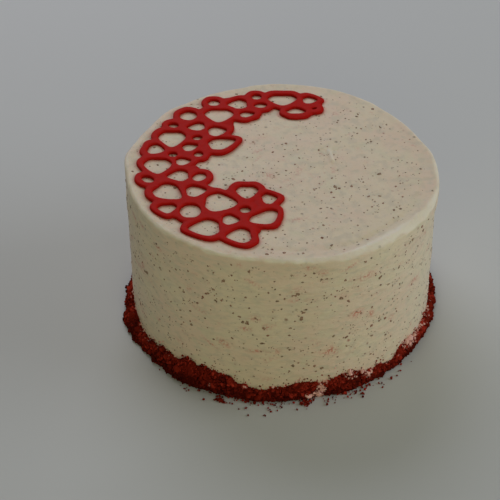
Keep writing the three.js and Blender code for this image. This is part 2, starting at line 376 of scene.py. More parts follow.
def finished(piece: bpy.types.Object) -> np.ndarray:
    """Applies the piece's modifiers to its mesh.

    Args:
        piece: The piece, which gets the new mesh.

    Returns:
        The new vertices' places, (vertices, 3), in millimetres.
    """
    seen = piece.evaluated_get(bpy.context.evaluated_depsgraph_get())
    mesh = bpy.data.meshes.new_from_object(seen)
    piece.modifiers.clear()
    old, piece.data = piece.data, mesh
    name = old.name
    bpy.data.meshes.remove(old)
    mesh.name = name
    mesh.polygons.foreach_set("use_smooth", np.ones(len(mesh.polygons), dtype=bool))
    places = np.empty(len(mesh.vertices) * 3, dtype=np.float32)
    mesh.vertices.foreach_get("co", places)
    return places.reshape(-1, 3) / METRES


def reshape(piece: bpy.types.Object, points: np.ndarray) -> None:
    """Moves a mesh's vertices to new places, given in millimetres."""
    piece.data.vertices.foreach_set("co", (points * METRES).astype(np.float32).ravel())
    piece.data.update()


def hand_in(piece: bpy.types.Object, slot: str, finish: bpy.types.Material, *nodes: str) -> None:
    """Dresses a piece, rides it on the cake's body and hides the solids that it replaces.

    Args:
        piece: The finished piece.
        slot: Not used.
        finish: Its material.
        nodes: Names of the solids that it replaces.
    """
    piece.data.materials.clear()
    piece.data.materials.append(finish)
    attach(piece, BODY)
    if nodes:
        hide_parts(*nodes)
    log.info("%s: %d faces", piece.name, len(piece.data.polygons))


class Lump(Enum):
    """Kinds of small solid bits, by the number of times a twenty-sided ball is split."""

    GRAIN = 0
    CLUMP = 1


def ball(splits: int) -> tuple[np.ndarray, np.ndarray]:
    """A ball of radius 1 with three-sided faces: an icosahedron, each face split in four.

    Args:
        splits: How many times its faces are split.

    Returns:
        Places, (vertices, 3), and vertex numbers of the faces, (faces, 3).
    """
    golden = (1.0 + math.sqrt(5.0)) / 2.0
    corners = [(0.0, a, b * golden) for a in (-1.0, 1.0) for b in (-1.0, 1.0)]
    points = np.array([np.roll(corner, turn) for turn in range(3) for corner in corners])
    points /= np.linalg.norm(points[0])
    gaps = np.linalg.norm(points[:, None] - points[None], axis=-1)
    near = gaps < 1.2  # an edge is 1.05 long, and the next gap between corners 1.7
    trios = np.array([
        (a, b, c) for a in range(12) for b in range(a + 1, 12) for c in range(b + 1, 12)
        if near[a, b] and near[b, c] and near[a, c]
    ])
    facing = np.einsum("ij,ij->i", np.cross(points[trios[:, 1]] - points[trios[:, 0]],
                                            points[trios[:, 2]] - points[trios[:, 0]]), points[trios[:, 0]])
    faces = np.where(facing[:, None] > 0, trios, trios[:, ::-1])
    for _ in range(splits):
        sides = np.sort(faces[:, [[0, 1], [1, 2], [2, 0]]], axis=-1)
        pairs, spot = np.unique(sides.reshape(-1, 2), axis=0, return_inverse=True)
        middles = points[pairs].mean(axis=1)
        middles /= np.linalg.norm(middles, axis=1)[:, None]
        ab, bc, ca = (len(points) + spot.reshape(-1, 3)).T
        a, b, c = faces.T
        faces = np.concatenate([np.stack(trio, axis=-1) for trio in
                                ((a, ab, ca), (b, bc, ab), (c, ca, bc), (ab, bc, ca))])
        points = np.vstack([points, middles])
    return points, faces


@dataclass
class Scatter:
    """Many small uneven lumps, all in one mesh."""

    seed: int
    roughness: float
    lump: Lump = Lump.GRAIN
    forms: int = 24

    def __post_init__(self) -> None:
        """Starts the seeded sequence and makes a few dozen uneven forms to pick from."""
        self.draw = np.random.default_rng(self.seed)
        points, self.faces = ball(self.lump.value)
        uneven = 1.0 + self.roughness * self.draw.uniform(-1.0, 1.0, (self.forms, len(points), 1))
        self.shapes = points[None] * uneven

    def sizes(self, count: int, usual: float, spread: float, least: float, most: float) -> np.ndarray:
        """Random half sizes, log-normal about the usual one and held between least and most."""
        return np.clip(self.draw.lognormal(math.log(usual), spread, count), least, most)

    def turns(self, count: int) -> np.ndarray:
        """Random turns, each from a random quaternion (w, x, y, z) of length 1.

        Args:
            count: How many.

        Returns:
            Matrices, (count, 3, 3).
        """
        w, x, y, z = self.draw.normal(size=(count, 4)).T
        length = np.sqrt(w * w + x * x + y * y + z * z)
        w, x, y, z = w / length, x / length, y / length, z / length
        rows = [
            [1 - 2 * (y * y + z * z), 2 * (x * y - z * w), 2 * (x * z + y * w)],
            [2 * (x * y + z * w), 1 - 2 * (x * x + z * z), 2 * (y * z - x * w)],
            [2 * (x * z - y * w), 2 * (y * z + x * w), 1 - 2 * (x * x + y * y)],
        ]
        return np.moveaxis(np.array(rows), -1, 0)

    def piece(self, name: str, places: np.ndarray, radii: np.ndarray, turns: np.ndarray,
              tones: np.ndarray) -> bpy.types.Object:
        """Puts a lump at each place: form times radii, then turned, then moved.

        Args:
            name: The piece's name.
            places: Centres, (lumps, 3), in millimetres.
            radii: Half sizes before the turn, (lumps, 3), in millimetres.
            turns: Turns, (lumps, 3, 3).
            tones: A number for each lump, for its colour.

        Returns:
            The new object.
        """
        picked = self.shapes[self.draw.integers(0, self.forms, len(places))]
        spread = np.einsum("nij,nvj->nvi", turns, picked * radii[:, None, :])
        points = (spread + places[:, None, :]).reshape(-1, 3)
        faces = self.faces[None] + picked.shape[1] * np.arange(len(places))[:, None, None]
        piece = mesh_piece(name, points, [faces.reshape(-1, 3)], smooth=self.lump is Lump.CLUMP)
        self.mark(piece, "tone", tones)
        return piece

    def mark(self, piece: bpy.types.Object, name: str, values: np.ndarray) -> None:
        """Stores one number for each lump, on all its vertices."""
        paint(piece, name, np.repeat(values, self.shapes.shape[1]))


class Bench:
    """A material with a Principled shader, and short ways to add nodes to it."""

    def __init__(self, name: str, roughness: float, specular: float) -> None:
        """Makes the material.

        Args:
            name: Its name.
            roughness: The shader's roughness.
            specular: The shader's specular level.
        """
        self.material = bpy.data.materials.new(name)
        self.material.use_nodes = True
        self.tree = self.material.node_tree
        self.shader = next(node for node in self.tree.nodes if node.type == "BSDF_PRINCIPLED")
        self.set("Roughness", roughness)
        self.set("Specular IOR Level", specular)
        self.places = self.node("ShaderNodeTexCoord").outputs["Object"]

    def set(self, socket: str, value: float | tuple[float, ...]) -> None:
        """Gives one of the shader's own sockets a value."""
        self.shader.inputs[socket].default_value = value

    def node(self, kind: str, **settings: object) -> bpy.types.Node:
        """Adds a node.

        Args:
            kind: Its type.
            settings: Values for its properties, by name.

        Returns:
            The new node.
        """
        made = self.tree.nodes.new(kind)
        for key, value in settings.items():
            setattr(made, key, value)
        return made

    def feed(self, socket: bpy.types.NodeSocket, value: object) -> None:
        """Joins an output to a socket, or sets the socket to a plain value.

        Args:
            socket: The input.
            value: An output, a number or a tuple.
        """
        if isinstance(value, bpy.types.NodeSocket):
            self.tree.links.new(value, socket)
        else:
            socket.default_value = value

    def maths(self, operation: str, first: object, second: object,
              held: bool = False) -> bpy.types.NodeSocket:
        """One step of arithmetic on outputs or numbers.

        Args:
            operation: The step's name.
            first: An output or a number.
            second: An output or a number.
            held: Whether the result is held from 0 to 1.

        Returns:
            The result's output.
        """
        made = self.node("ShaderNodeMath", operation=operation, use_clamp=held)
        self.feed(made.inputs[0], first)
        self.feed(made.inputs[1], second)
        return made.outputs[0]

    def ramp(self, value: object, low: float, high: float,
             start: float = 0.0, end: float = 1.0) -> bpy.types.NodeSocket:
        """An eased climb between two values.

        Args:
            value: The output that is read.
            low: Below it the result is start.
            high: Above it the result is end.
            start: The first result.
            end: The last result.

        Returns:
            The result's output.
        """
        made = self.node("ShaderNodeMapRange", interpolation_type="SMOOTHSTEP")
        for name, number in (("From Min", low), ("From Max", high), ("To Min", start), ("To Max", end)):
            made.inputs[name].default_value = number
        self.feed(made.inputs["Value"], value)
        return made.outputs["Result"]

    def noise(self, per_metre: float, detail: float, vector: object = None) -> bpy.types.Node:
        """Soft noise.

        Args:
            per_metre: How many waves go to the metre.
            detail: How many finer layers are added.
            vector: Where it is read, or nothing for Object coordinates.

        Returns:
            The noise node.
        """
        made = self.node("ShaderNodeTexNoise")
        made.inputs["Scale"].default_value = per_metre
        made.inputs["Detail"].default_value = detail
        self.feed(made.inputs["Vector"], vector or self.places)
        return made

    def stretched(self, scale: float) -> bpy.types.NodeSocket:
        """Object coordinates scaled along Z, so that what reads them lies flat.

        Args:
            scale: How many times.

        Returns:
            The scaled coordinates.
        """
        made = self.node("ShaderNodeMapping")
        made.inputs["Scale"].default_value = (1.0, 1.0, scale)
        self.feed(made.inputs["Vector"], self.places)
        return made.outputs["Vector"]

    def warped(self, per_metre: float, reach: float, vector: object = None) -> bpy.types.NodeSocket:
        """Coordinates moved about by noise.

        Args:
            per_metre: How many waves of the noise go to the metre.
            reach: Twice the farthest that they move, in metres.
            vector: The coordinates, or nothing for Object coordinates.

        Returns:
            The moved coordinates.
        """
        source = vector or self.places
        centred = self.node("ShaderNodeVectorMath", operation="SUBTRACT")
        self.feed(centred.inputs[0], self.noise(per_metre, 2.0, source).outputs["Color"])
        centred.inputs[1].default_value = (0.5, 0.5, 0.5)
        scaled = self.node("ShaderNodeVectorMath", operation="SCALE")
        self.feed(scaled.inputs[0], centred.outputs[0])
        scaled.inputs["Scale"].default_value = reach
        moved = self.node("ShaderNodeVectorMath", operation="ADD")
        self.feed(moved.inputs[0], source)
        self.feed(moved.inputs[1], scaled.outputs[0])
        return moved.outputs[0]

    def attribute(self, name: str) -> bpy.types.NodeSocket:
        """The number that the piece carries for each vertex under a name."""
        return self.node("ShaderNodeAttribute", attribute_name=name).outputs["Fac"]

    def blend(self, share: object, first: object, second: object) -> bpy.types.NodeSocket:
        """The first colour, turned into the second.

        The node's inputs 6 and 7 and its output 2 are the ones for colours.

        Args:
            share: From 0 to 1.
            first: An output or a colour.
            second: An output or a colour.

        Returns:
            The blended colour's output.
        """
        made = self.node("ShaderNodeMix", data_type="RGBA", clamp_factor=True)
        self.feed(made.inputs[0], share)
        for socket, colour in ((made.inputs[6], first), (made.inputs[7], second)):
            self.feed(socket, (*colour, 1.0) if isinstance(colour, tuple) else colour)
        return made.outputs[2]

    def bump(self, height: object, distance: float, strength: float) -> None:
        """Lets a height tilt the surface under the light.

        Args:
            height: The output that is read.
            distance: What a height of 1 stands for, in metres.
            strength: How much of the tilt is used.
        """
        made = self.node("ShaderNodeBump")
        made.inputs["Strength"].default_value = strength
        made.inputs["Distance"].default_value = distance
        self.feed(made.inputs["Height"], height)
        self.tree.links.new(made.outputs["Normal"], self.shader.inputs["Normal"])

    def colour(self, colour: object) -> None:
        """Gives the shader its base colour."""
        self.feed(self.shader.inputs["Base Color"], colour)


@dataclass(frozen=True)
class SpeckLayer:
    """Specks of one size range inside the icing, one at most to each cell of a pattern."""

    cell: float
    share: float
    smallest: float
    largest: float
    soft: float

    def mask(self, bench: Bench,
             vector: bpy.types.NodeSocket) -> tuple[bpy.types.NodeSocket, bpy.types.NodeSocket]:
        """Where the specks are.

        A cell's random number r picks whether it holds a speck, when r > 1 - share, and how large.
        The mask is (radius - distance) / soft, held from 0 to 1.

        Args:
            bench: The material's bench.
            vector: The coordinates that the cells lie in.

        Returns:
            The mask, and a random colour for each cell.
        """
        cells = bench.node("ShaderNodeTexVoronoi")
        cells.inputs["Scale"].default_value = 1.0 / (self.cell * METRES)
        bench.feed(cells.inputs["Vector"], vector)
        split = bench.node("ShaderNodeSeparateColor")
        bench.feed(split.inputs[0], cells.outputs["Color"])
        least = 1.0 - self.share
        picked = bench.maths("GREATER_THAN", split.outputs[0], least)
        climb = bench.maths("DIVIDE", bench.maths("SUBTRACT", split.outputs[0], least), self.share)
        grown = bench.maths("POWER", bench.maths("MAXIMUM", climb, 0.0), 2.0)
        more = bench.maths("MULTIPLY", grown, (self.largest - self.smallest) / self.cell)
        radius = bench.maths("ADD", more, self.smallest / self.cell)
        depth = bench.maths("SUBTRACT", radius, cells.outputs["Distance"])
        mask = bench.maths("DIVIDE", depth, self.soft / self.cell, held=True)
        return bench.maths("MULTIPLY", mask, picked), split.outputs[1]


@dataclass(frozen=True)
class CreamIcing:
    """Cream cheese icing with sponge crumbs worked through it: satin, pale, full of specks and smears."""

    cream: tuple[float, float, float] = (0.77, 0.665, 0.455)
    pinkish: tuple[float, float, float] = (0.77, 0.62, 0.44)
    greenish: tuple[float, float, float] = (0.68, 0.65, 0.43)
    greyish: tuple[float, float, float] = (0.65, 0.57, 0.4)
    # Painted red bounce light from the piping onto the cream beside it
    painted_red_bounce: tuple[float, float, float] = (0.66, 0.2, 0.14)
    # Clean icing on the rim and the ridge, paler than the cream: partly its own colour, partly a painted
    # highlight
    rim: tuple[float, float, float] = (0.88, 0.81, 0.62)
    dark_speck: tuple[float, float, float] = (0.12, 0.075, 0.03)
    dim_speck: tuple[float, float, float] = (0.33, 0.23, 0.11)
    red_speck: tuple[float, float, float] = (0.34, 0.07, 0.035)
    smear: tuple[float, float, float] = (0.6, 0.19, 0.13)
    roughness: float = 0.52
    specular: float = 0.3
    dim: SpeckLayer = SpeckLayer(2.6, 0.55, 0.2, 0.9, 0.9)
    fine: SpeckLayer = SpeckLayer(2.9, 0.4, 0.2, 0.65, 0.7)
    coarse: SpeckLayer = SpeckLayer(5.2, 0.6, 0.35, 1.3, 1.0)
    halo: SpeckLayer = SpeckLayer(6.5, 0.5, 1.0, 3.0, 2.4)

    def material(self) -> bpy.types.Material:
        """Slow drifts of colour, layers of specks, smears, painted red bounce light beside the piping, clean
        icing on the rim painted paler as a highlight where the mesh says, and relief.

        Returns:
            The finished material.
        """
        bench = Bench("cream_icing", self.roughness, self.specular)
        bench.set("Subsurface Weight", 0.2)
        bench.set("Subsurface Radius", (1.0, 0.7, 0.45))
        bench.set("Subsurface Scale", 0.0025)
        drift = bench.noise(32.0, 3.0, bench.stretched(1.4)).outputs["Fac"]
        blotch = bench.noise(95.0, 3.0, bench.stretched(1.8)).outputs["Fac"]
        base = bench.blend(bench.ramp(drift, 0.36, 0.64), self.cream, self.pinkish)
        base = bench.blend(bench.ramp(blotch, 0.5, 0.72, 0.0, 0.5), base, self.greenish)
        cloud = bench.noise(210.0, 4.0, bench.stretched(2.2)).outputs["Fac"]
        base = bench.blend(bench.ramp(cloud, 0.46, 0.68, 0.0, 0.75), base, self.greyish)
        # Clean icing on the rim and the ridge: fewer specks, and a paler colour that is partly a painted
        # highlight
        clean_and_highlight = bench.attribute("clean_and_highlight")
        specked = bench.maths("SUBTRACT", 1.0, bench.maths("MULTIPLY", clean_and_highlight, 0.75))
        base = bench.blend(clean_and_highlight, base, self.rim)

        broken = bench.ramp(bench.noise(900.0, 2.0).outputs["Fac"], 0.38, 0.62)
        smeared = bench.maths("MULTIPLY", bench.attribute("stain"), broken, held=True)
        base = bench.blend(smeared, base, self.smear)
        # Painted red bounce light on the cream beside the piping
        base = bench.blend(bench.attribute("painted_red_bounce"), base, self.painted_red_bounce)
        flowing = bench.warped(260.0, 0.004, bench.stretched(1.6))
        halo, _ = self.halo.mask(bench, flowing)
        patchy = bench.ramp(bench.noise(1100.0, 2.0).outputs["Fac"], 0.45, 0.7, 0.0, 0.5)
        patchy = bench.maths("MULTIPLY", patchy, specked)
        base = bench.blend(bench.maths("MULTIPLY", halo, patchy), base, self.smear)

        uneven = bench.warped(1500.0, 0.0009)
        for layer, dark, strength in ((self.dim, self.dim_speck, 0.5), (self.fine, self.dark_speck, 0.6),
                                      (self.coarse, self.dark_speck, 0.75)):
            mask, kind = layer.mask(bench, uneven)
            hue = bench.blend(bench.ramp(kind, 0.4, 0.85), dark, self.red_speck)
            shown = bench.maths("MULTIPLY", bench.maths("MULTIPLY", mask, strength), specked)
            base = bench.blend(shown, base, hue)
        bench.colour(base)

        strokes = bench.noise(140.0, 3.0, bench.stretched(3.0)).outputs["Fac"]
        grain = bench.noise(1400.0, 3.0).outputs["Fac"]
        bench.bump(bench.maths("ADD", strokes, bench.maths("MULTIPLY", grain, 0.16)), 0.0009, 0.7)
        return bench.material


@dataclass(frozen=True)
class SpongeSpeck:
    """The bits of sponge caught in the icing: dark, some red, with icing over them."""

    dark: tuple[float, float, float] = (0.115, 0.068, 0.033)
    red: tuple[float, float, float] = (0.27, 0.06, 0.035)
    veil: tuple[float, float, float] = (0.53, 0.41, 0.25)

    def material(self) -> bpy.types.Material:
        """Each bit has its own tone, between dark and red, with patches of icing over it.

        Returns:
            The finished material.
        """
        bench = Bench("sponge_speck", 0.7, 0.25)
        hue = bench.blend(bench.attribute("tone"), self.dark, self.red)
        veiled = bench.ramp(bench.noise(1600.0, 2.0).outputs["Fac"], 0.4, 0.65, 0.1, 0.75)
        bench.colour(bench.blend(veiled, hue, self.veil))
        bench.bump(bench.noise(2500.0, 2.0).outputs["Fac"], 0.0003, 0.7)
        return bench.material


@dataclass(frozen=True)
class RedPiping:
    """Set red piping: deep red, almost even, with a soft dull skin."""

    bright: tuple[float, float, float] = (0.49, 0.0085, 0.0035)
    # Painted shade for the strands' flanks
    flank_shade: tuple[float, float, float] = (0.36, 0.004, 0.001)
    roughness: float = 0.6
    specular: float = 0.06

    def material(self) -> bpy.types.Material:
        """Painted shade down a strand's flanks, darker than its crest, with soft unevenness.

        Returns:
            The finished material.
        """
        bench = Bench("red_piping", self.roughness, self.specular)
        bench.set("Subsurface Weight", 0.15)
        bench.set("Subsurface Radius", (1.0, 0.15, 0.1))
        bench.set("Subsurface Scale", 0.0012)
        uneven = bench.noise(420.0, 3.0).outputs["Fac"]
        # Painted shade: the strand is darker low down its flanks
        crest_shade = bench.maths("ADD", bench.attribute("crest_shade"), bench.maths("MULTIPLY", uneven, 0.5))
        bench.colour(bench.blend(bench.ramp(crest_shade, 0.5, 1.4), self.flank_shade, self.bright))
        fine = bench.noise(1800.0, 2.0).outputs["Fac"]
        bench.bump(bench.maths("ADD", uneven, bench.maths("MULTIPLY", fine, 0.2)), 0.0005, 0.5)
        return bench.material


@dataclass(frozen=True)
class SpongeCrumb:
    """Dry open crumbs of dark red sponge, some smeared with icing."""

    dark: tuple[float, float, float] = (0.074, 0.0066, 0.0028)
    middle: tuple[float, float, float] = (0.195, 0.015, 0.006)
    bright: tuple[float, float, float] = (0.47, 0.042, 0.023)
    iced: tuple[float, float, float] = (0.88, 0.53, 0.43)

    def material(self) -> bpy.types.Material:
        """A tone for each crumb, with painted light and shade in it, broken up by fine noise, paler where the
        mesh says it met the icing.

        Returns:
            The finished material.
        """
        bench = Bench("sponge_crumb", 0.95, 0.02)
        pores = bench.noise(1500.0, 4.0).outputs["Fac"]
        patches = bench.noise(110.0, 3.0).outputs["Fac"]
        # The tone carries painted light and shade by height and by side
        tone = bench.maths("ADD", bench.attribute("tone"), bench.maths("MULTIPLY", pores, 0.5))
        tone = bench.maths("ADD", tone, bench.maths("MULTIPLY", patches, 0.5))
        hue = bench.blend(bench.ramp(tone, 0.42, 0.9), self.dark, self.middle)
        hue = bench.blend(bench.ramp(tone, 0.86, 1.55), hue, self.bright)
        patch = bench.maths("ADD", bench.attribute("iced"), bench.noise(650.0, 3.0).outputs["Fac"])
        bench.colour(bench.blend(bench.ramp(patch, 0.84, 1.02), hue, self.iced))
        bench.bump(pores, 0.0007, 0.9)
        return bench.material


@dataclass(frozen=True)
class PaleFloor:
    """Plain pale grey table."""

    colour: tuple[float, float, float] = (0.59, 0.61, 0.57)

    def material(self) -> bpy.types.Material:
        """Almost even, with a drift too slow to see as a pattern.

        Returns:
            The finished material.
        """
        bench = Bench("pale_floor", 0.6, 0.2)
        drift = bench.noise(2.0, 1.0).outputs["Fac"]
        bench.colour(bench.blend(drift, self.colour, tuple(0.96 * part for part in self.colour)))
        return bench.material


@dataclass(frozen=True)
class Panel:
    """A round soft light that faces the cake: its name, place in millimetres, power in watts and tint."""

    name: str
    place: tuple[float, float, float]
    power: float
    tint: tuple[float, float, float]


@dataclass
class Studio:
    """The plain room: floor, soft light, and the camera as the photograph has it."""

    # The camera: focal length in the photo's pixels, place, tilt down, and turn about its line of sight
    focal_pixels: float = 1642.52
    eye: tuple[float, float, float] = (-16.46, -693.09, 574.85)
    tilt: float = math.radians(37.98)
    roll: float = math.radians(-2.19)
    sensor: float = 36.0

    # The room: half the floor's width, the light from all round, and the panels
    floor_reach: float = 9000.0
    world: tuple[float, float, float] = (1.0, 0.99, 0.88)
    world_strength: float = 0.125
    panel_size: float = 1300.0
    panels: tuple[Panel, ...] = (
        Panel("panel_right", (1385.5, -121.2, 606.9), 7.0, (1.0, 1.06, 1.22)),
        Panel("panel_front", (0.0, -1390.8, 606.9), 4.4, (1.0, 0.95, 0.66)),
        Panel("panel_back", (-297.4, 1109.9, 1009.2), 8.8, (1.0, 0.98, 1.16)),
    )

    def camera(self) -> None:
        """Looks down at the cake by the tilt, turned a little about its own line of sight."""
        right = np.array([1.0, 0.0, 0.0])
        ahead = np.array([0.0, math.cos(self.tilt), -math.sin(self.tilt)])
        up = np.cross(right, ahead)
        across = math.cos(self.roll) * right + math.sin(self.roll) * up
        upward = -math.sin(self.roll) * right + math.cos(self.roll) * up
        data = bpy.data.cameras.new("camera")
        data.sensor_fit = "HORIZONTAL"
        data.sensor_width = self.sensor
        data.lens = self.focal_pixels / PHOTO_WIDTH * self.sensor
        data.clip_start = 0.01
        data.clip_end = 100.0
        camera = bpy.data.objects.new("camera", data)
        bpy.context.scene.collection.objects.link(camera)
        camera.matrix_world = pose([across, upward, -ahead], np.array(self.eye))
        bpy.context.scene.camera = camera

    def light(self) -> None:
        """Even light from all round, and large soft panels that face the cake."""
        scene = bpy.context.scene
        scene.view_settings.view_transform = "Standard"
        scene.world = bpy.data.worlds.new("room")
        scene.world.use_nodes = True
        sky = next(node for node in scene.world.node_tree.nodes if node.type == "BACKGROUND")
        sky.inputs["Color"].default_value = (*self.world, 1.0)
        sky.inputs["Strength"].default_value = self.world_strength
        for panel in self.panels:
            data = bpy.data.lights.new(panel.name, "AREA")
            data.shape = "DISK"
            data.size = self.panel_size * METRES
            data.energy = panel.power
            data.color = panel.tint
            lamp = bpy.data.objects.new(panel.name, data)
            scene.collection.objects.link(lamp)
            spot = np.array(panel.place)
            aim = spot - np.array([0.0, 0.0, FORM.height / 2.0])
            back = aim / np.linalg.norm(aim)
            side = np.cross([0.0, 0.0, 1.0], back)
            side /= np.linalg.norm(side)
            lamp.matrix_world = pose([side, np.cross(back, side), back], spot)

    def floor(self) -> None:
        """A wide flat square at the height that the cake stands on."""
        unit = np.array([[-1.0, -1.0, 0.0], [1.0, -1.0, 0.0], [1.0, 1.0, 0.0], [-1.0, 1.0, 0.0]])
        corners = self.floor_reach * unit
        floor = mesh_piece("floor", corners, [np.array([[0, 1, 2, 3]])], smooth=False)
        floor.data.materials.append(PaleFloor().material())

    def build(self) -> None:
        """Makes the camera, the light and the floor."""
        self.camera()
        self.light()
        self.floor()


@dataclass
class IcedCake:
    """The coat of icing over the whole cake, and the bits of sponge caught in it."""

    # Points in a ring, and rings of the underside, wall, rim and top
    steps: int = 500
    under_rings: int = 8
    wall_rings: int = 80
    rim_rings: int = 22
    top_rings: int = 92

    # The rim's width and height, and what is added to them where it is flattened and where it drops
    rim_out: float = 1.6
    rim_up: float = 1.5
    facet_out: float = 4.0
    facet_at: float = 309.0
    facet_reach: float = 23.0
    facet_flat: float = 0.5
    facet_up: float = 1.7
    drop_at: float = 331.0
    drop_reach: float = 12.0

    # The spatula's marks: the lip on the rim, the groove inside it, and the short ridge with its hollows
    lip: float = 0.45
    lip_inset: float = 1.2
    lip_reach: float = 1.6
    groove: float = 0.55
    groove_at: float = 302.0
    groove_reach: float = 40.0
    groove_inset: float = 8.6
    groove_width: float = 1.7
    ridge_rise: float = 1.3
    # How clean the ridge's crest is, and how much paler it is painted as a highlight
    ridge_clean_and_highlight: float = 0.7
    hollow_fall: float = 0.5

    # Red on the icing: painted red bounce light from the piping, and the smears
    painted_red_bounce: float = 0.62
    painted_red_bounce_reach: float = 1.1
    smear_count: int = 260
    deepest_smear: float = 0.85

    # Specks: how many, how far they keep from the edges, and their depth and sinking in half sizes
    top_specks: int = 800
    wall_specks: int = 2100
    speck_margin: float = 5.0
    speck_depth: float = 0.4
    speck_sink: float = 0.05
    spot_core: float = 0.8

    def facet(self, angle: np.ndarray) -> np.ndarray:
        """How far the rim is flattened at an angle, from 0 to 1: most at the front right."""
        return turn_swell(angle, self.facet_at, self.facet_reach)

    def rim_size(self, angle: np.ndarray) -> tuple[np.ndarray, np.ndarray]:
        """The rim's width and height at an angle."""
        wide = self.rim_out + self.facet_out * self.facet(angle)
        return wide, self.rim_up + self.facet_up * turn_swell(angle, self.drop_at, self.drop_reach)

    def rings(self) -> np.ndarray:
        """The whole surface as rings from the middle of the underside, out, up and back to the axis.

        The rim is a quarter of an ellipse. Where it is flattened it is wider, and drawn towards the straight
        line between its ends. The rings of the top are the rim's, drawn in to the axis, and all heights are
        scaled to the sloping top.

        Returns:
            Places, (rings, steps, 3).
        """
        angle = np.linspace(0.0, 2.0 * math.pi, self.steps, endpoint=False)[None, :]
        wide, tall = self.rim_size(angle)
        under = np.linspace(0.06, 1.0, self.under_rings)[:-1, None]
        low = np.linspace(0.0, 1.0, self.wall_rings)[:, None]
        climb = np.linspace(0.0, 1.0, self.rim_rings)[1:, None]
        flat = self.facet_flat * self.facet(angle)
        inset = (1.0 - flat) * (1.0 - np.cos(climb * math.pi / 2.0)) + flat * climb
        raised = (1.0 - flat) * np.sin(climb * math.pi / 2.0) + flat * climb
        inward = np.linspace(1.0, 0.02, self.top_rings)[1:, None]
        shoulder = FORM.height - tall
        edge = FORM.edge_radius(angle)
        return self.sloped(np.concatenate([
            polar(under * FORM.side_radius(angle, 0.0), angle, 0.0),
            polar(FORM.side_radius(angle, low * shoulder), angle, low * shoulder),
            polar(edge - wide * inset, angle, shoulder + tall * raised),
            polar((edge - wide) * inward, angle, FORM.height)]))

    def sloped(self, places: np.ndarray) -> np.ndarray:
        """Places on an upright form with a level top, their heights scaled to the sloping top."""
        x, y, z = np.moveaxis(places, -1, 0)
        return np.stack([x, y, z * FORM.top_height(x, y) / FORM.height], axis=-1)

    def ridge(self, x: np.ndarray, y: np.ndarray) -> np.ndarray:
        """The one short ridge that the spatula left near the middle of the top, from 0 to 1."""
        return swell(x + 0.12 * (y - 9.5), 27.5, 0.9) * rise(y, 1.5, 5.5) * (1.0 - rise(y, 12.5, 17.5))

    def hollows(self, x: np.ndarray, y: np.ndarray) -> np.ndarray:
        """The shallow hollow at each side of the ridge's far end, from 0 to 1."""
        return swell(x, 24.3, 2.2) * swell(y, 15.0, 2.6) + swell(x, 30.8, 1.8) * swell(y, 15.3, 2.2)

    def relief(self, points: np.ndarray) -> np.ndarray:
        """Marks of the spatula: slow waves, long strokes, the short ridge, a low lip at the rim, a groove.

        Args:
            points: Places on the plain form.

        Returns:
            The places, moved along the axis on the top and away from it on the wall.
        """
        x, y, z = points[..., 0], points[..., 1], points[..., 2]
        radius = np.hypot(x, y)
        angle = np.arctan2(y, x)
        below = FORM.top_height(x, y) - z
        high = 1.0 - rise(below, 2.0, 5.0)
        on_top = high * (1.0 - rise(radius, 70.0, 80.0))
        on_wall = rise(radius, 74.0, 79.0) * rise(below, 3.0, 7.0)
        above_foot = rise(z, 0.0, 4.0)
        arcs = np.stack([np.hypot(x - 24.0, y + 46.0), 0.1 * x, 0.1 * y], axis=-1)
        top = 0.16 * Drift(11).at(arcs, 9.0, 2) + 0.22 * Drift(12).at(points, 21.0, 2)
        top = top + self.ridge_rise * self.ridge(x, y) - self.hollow_fall * self.hollows(x, y)
        strength = self.lip * (0.75 + 0.6 * Drift(13).at(points, 26.0)) * (1.0 + 0.8 * self.facet(angle))
        inside = FORM.edge_radius(angle) - radius
        lip = strength * swell(inside, self.rim_out + self.lip_inset, self.lip_reach)
        groove = self.groove * turn_swell(angle, self.groove_at, self.groove_reach)
        groove = groove * swell(inside, self.groove_inset, self.groove_width)
        lip = lip - groove * (1.0 + 0.5 * Drift(18).at(points, 9.0))
        flat = points * [1.0, 1.0, 3.2]
        side = 0.3 * Drift(14).at(points, 30.0, 2) + 0.13 * Drift(15).at(flat, 16.0, 2)
        out = side * on_wall * above_foot / np.maximum(radius, 1.0)
        raised = z + top * on_top + lip * high
        return np.stack([x * (1.0 + out), y * (1.0 + out), raised], axis=-1)

    def stains(self, points: np.ndarray) -> np.ndarray:
        """How strongly the icing is smeared red at each place: the sum of soft short strokes.

        They are drawn, and then those of the table are added. A stroke is a hump of
        exp(-(along / length)^2 - (across / width)^2) round its centre.

        Args:
            points: Places on the finished surface, (vertices, 3).

        Returns:
            A share from 0 to 1 for each.
        """
        draw = np.random.default_rng(21)
        total = np.zeros(len(points))
        count = self.smear_count
        on_top = draw.random(count) < 0.3
        turn = draw.uniform(0.0, 2.0 * math.pi, count)
        out = FORM.rim_radius * np.sqrt(draw.uniform(0.0, 0.92, count))
        high = draw.uniform(6.0, 84.0, count)
        centres = np.where(on_top[:, None], polar(out, turn, FORM.height), FORM.wall_point(turn, high))
        slant = np.where(on_top, 0.0, draw.normal(0.0, 0.35, count))
        way = polar(np.cos(slant), turn + math.pi / 2.0, np.sin(slant))
        length = draw.uniform(1.2, 5.0, count)
        width = draw.uniform(0.8, 1.7, count)
        strength = 0.2 + 0.8 * draw.random(count) ** 2
        seen_at = np.radians(SMEARS[:, 0])
        centres = np.vstack([centres, FORM.wall_point(seen_at, SMEARS[:, 1])])
        way = np.vstack([way, polar(1.0, seen_at + math.pi / 2.0, 0.0)])
        length = np.append(length, SMEARS[:, 2])
        width = np.append(width, SMEARS[:, 3])
        strength = np.append(strength, SMEARS[:, 4])
        for centre, line, long_, wide, strong in zip(centres, way, length, width, strength):
            near = np.flatnonzero(np.abs(points - centre).max(axis=1) < 2.5 * long_ + 3.0)
            away = points[near] - centre
            along = away @ line
            across = np.linalg.norm(away - along[:, None] * line, axis=1)
            total[near] += strong * np.exp(-((along / long_) ** 2) - (across / wide) ** 2)
        return np.clip(total, 0.0, self.deepest_smear)

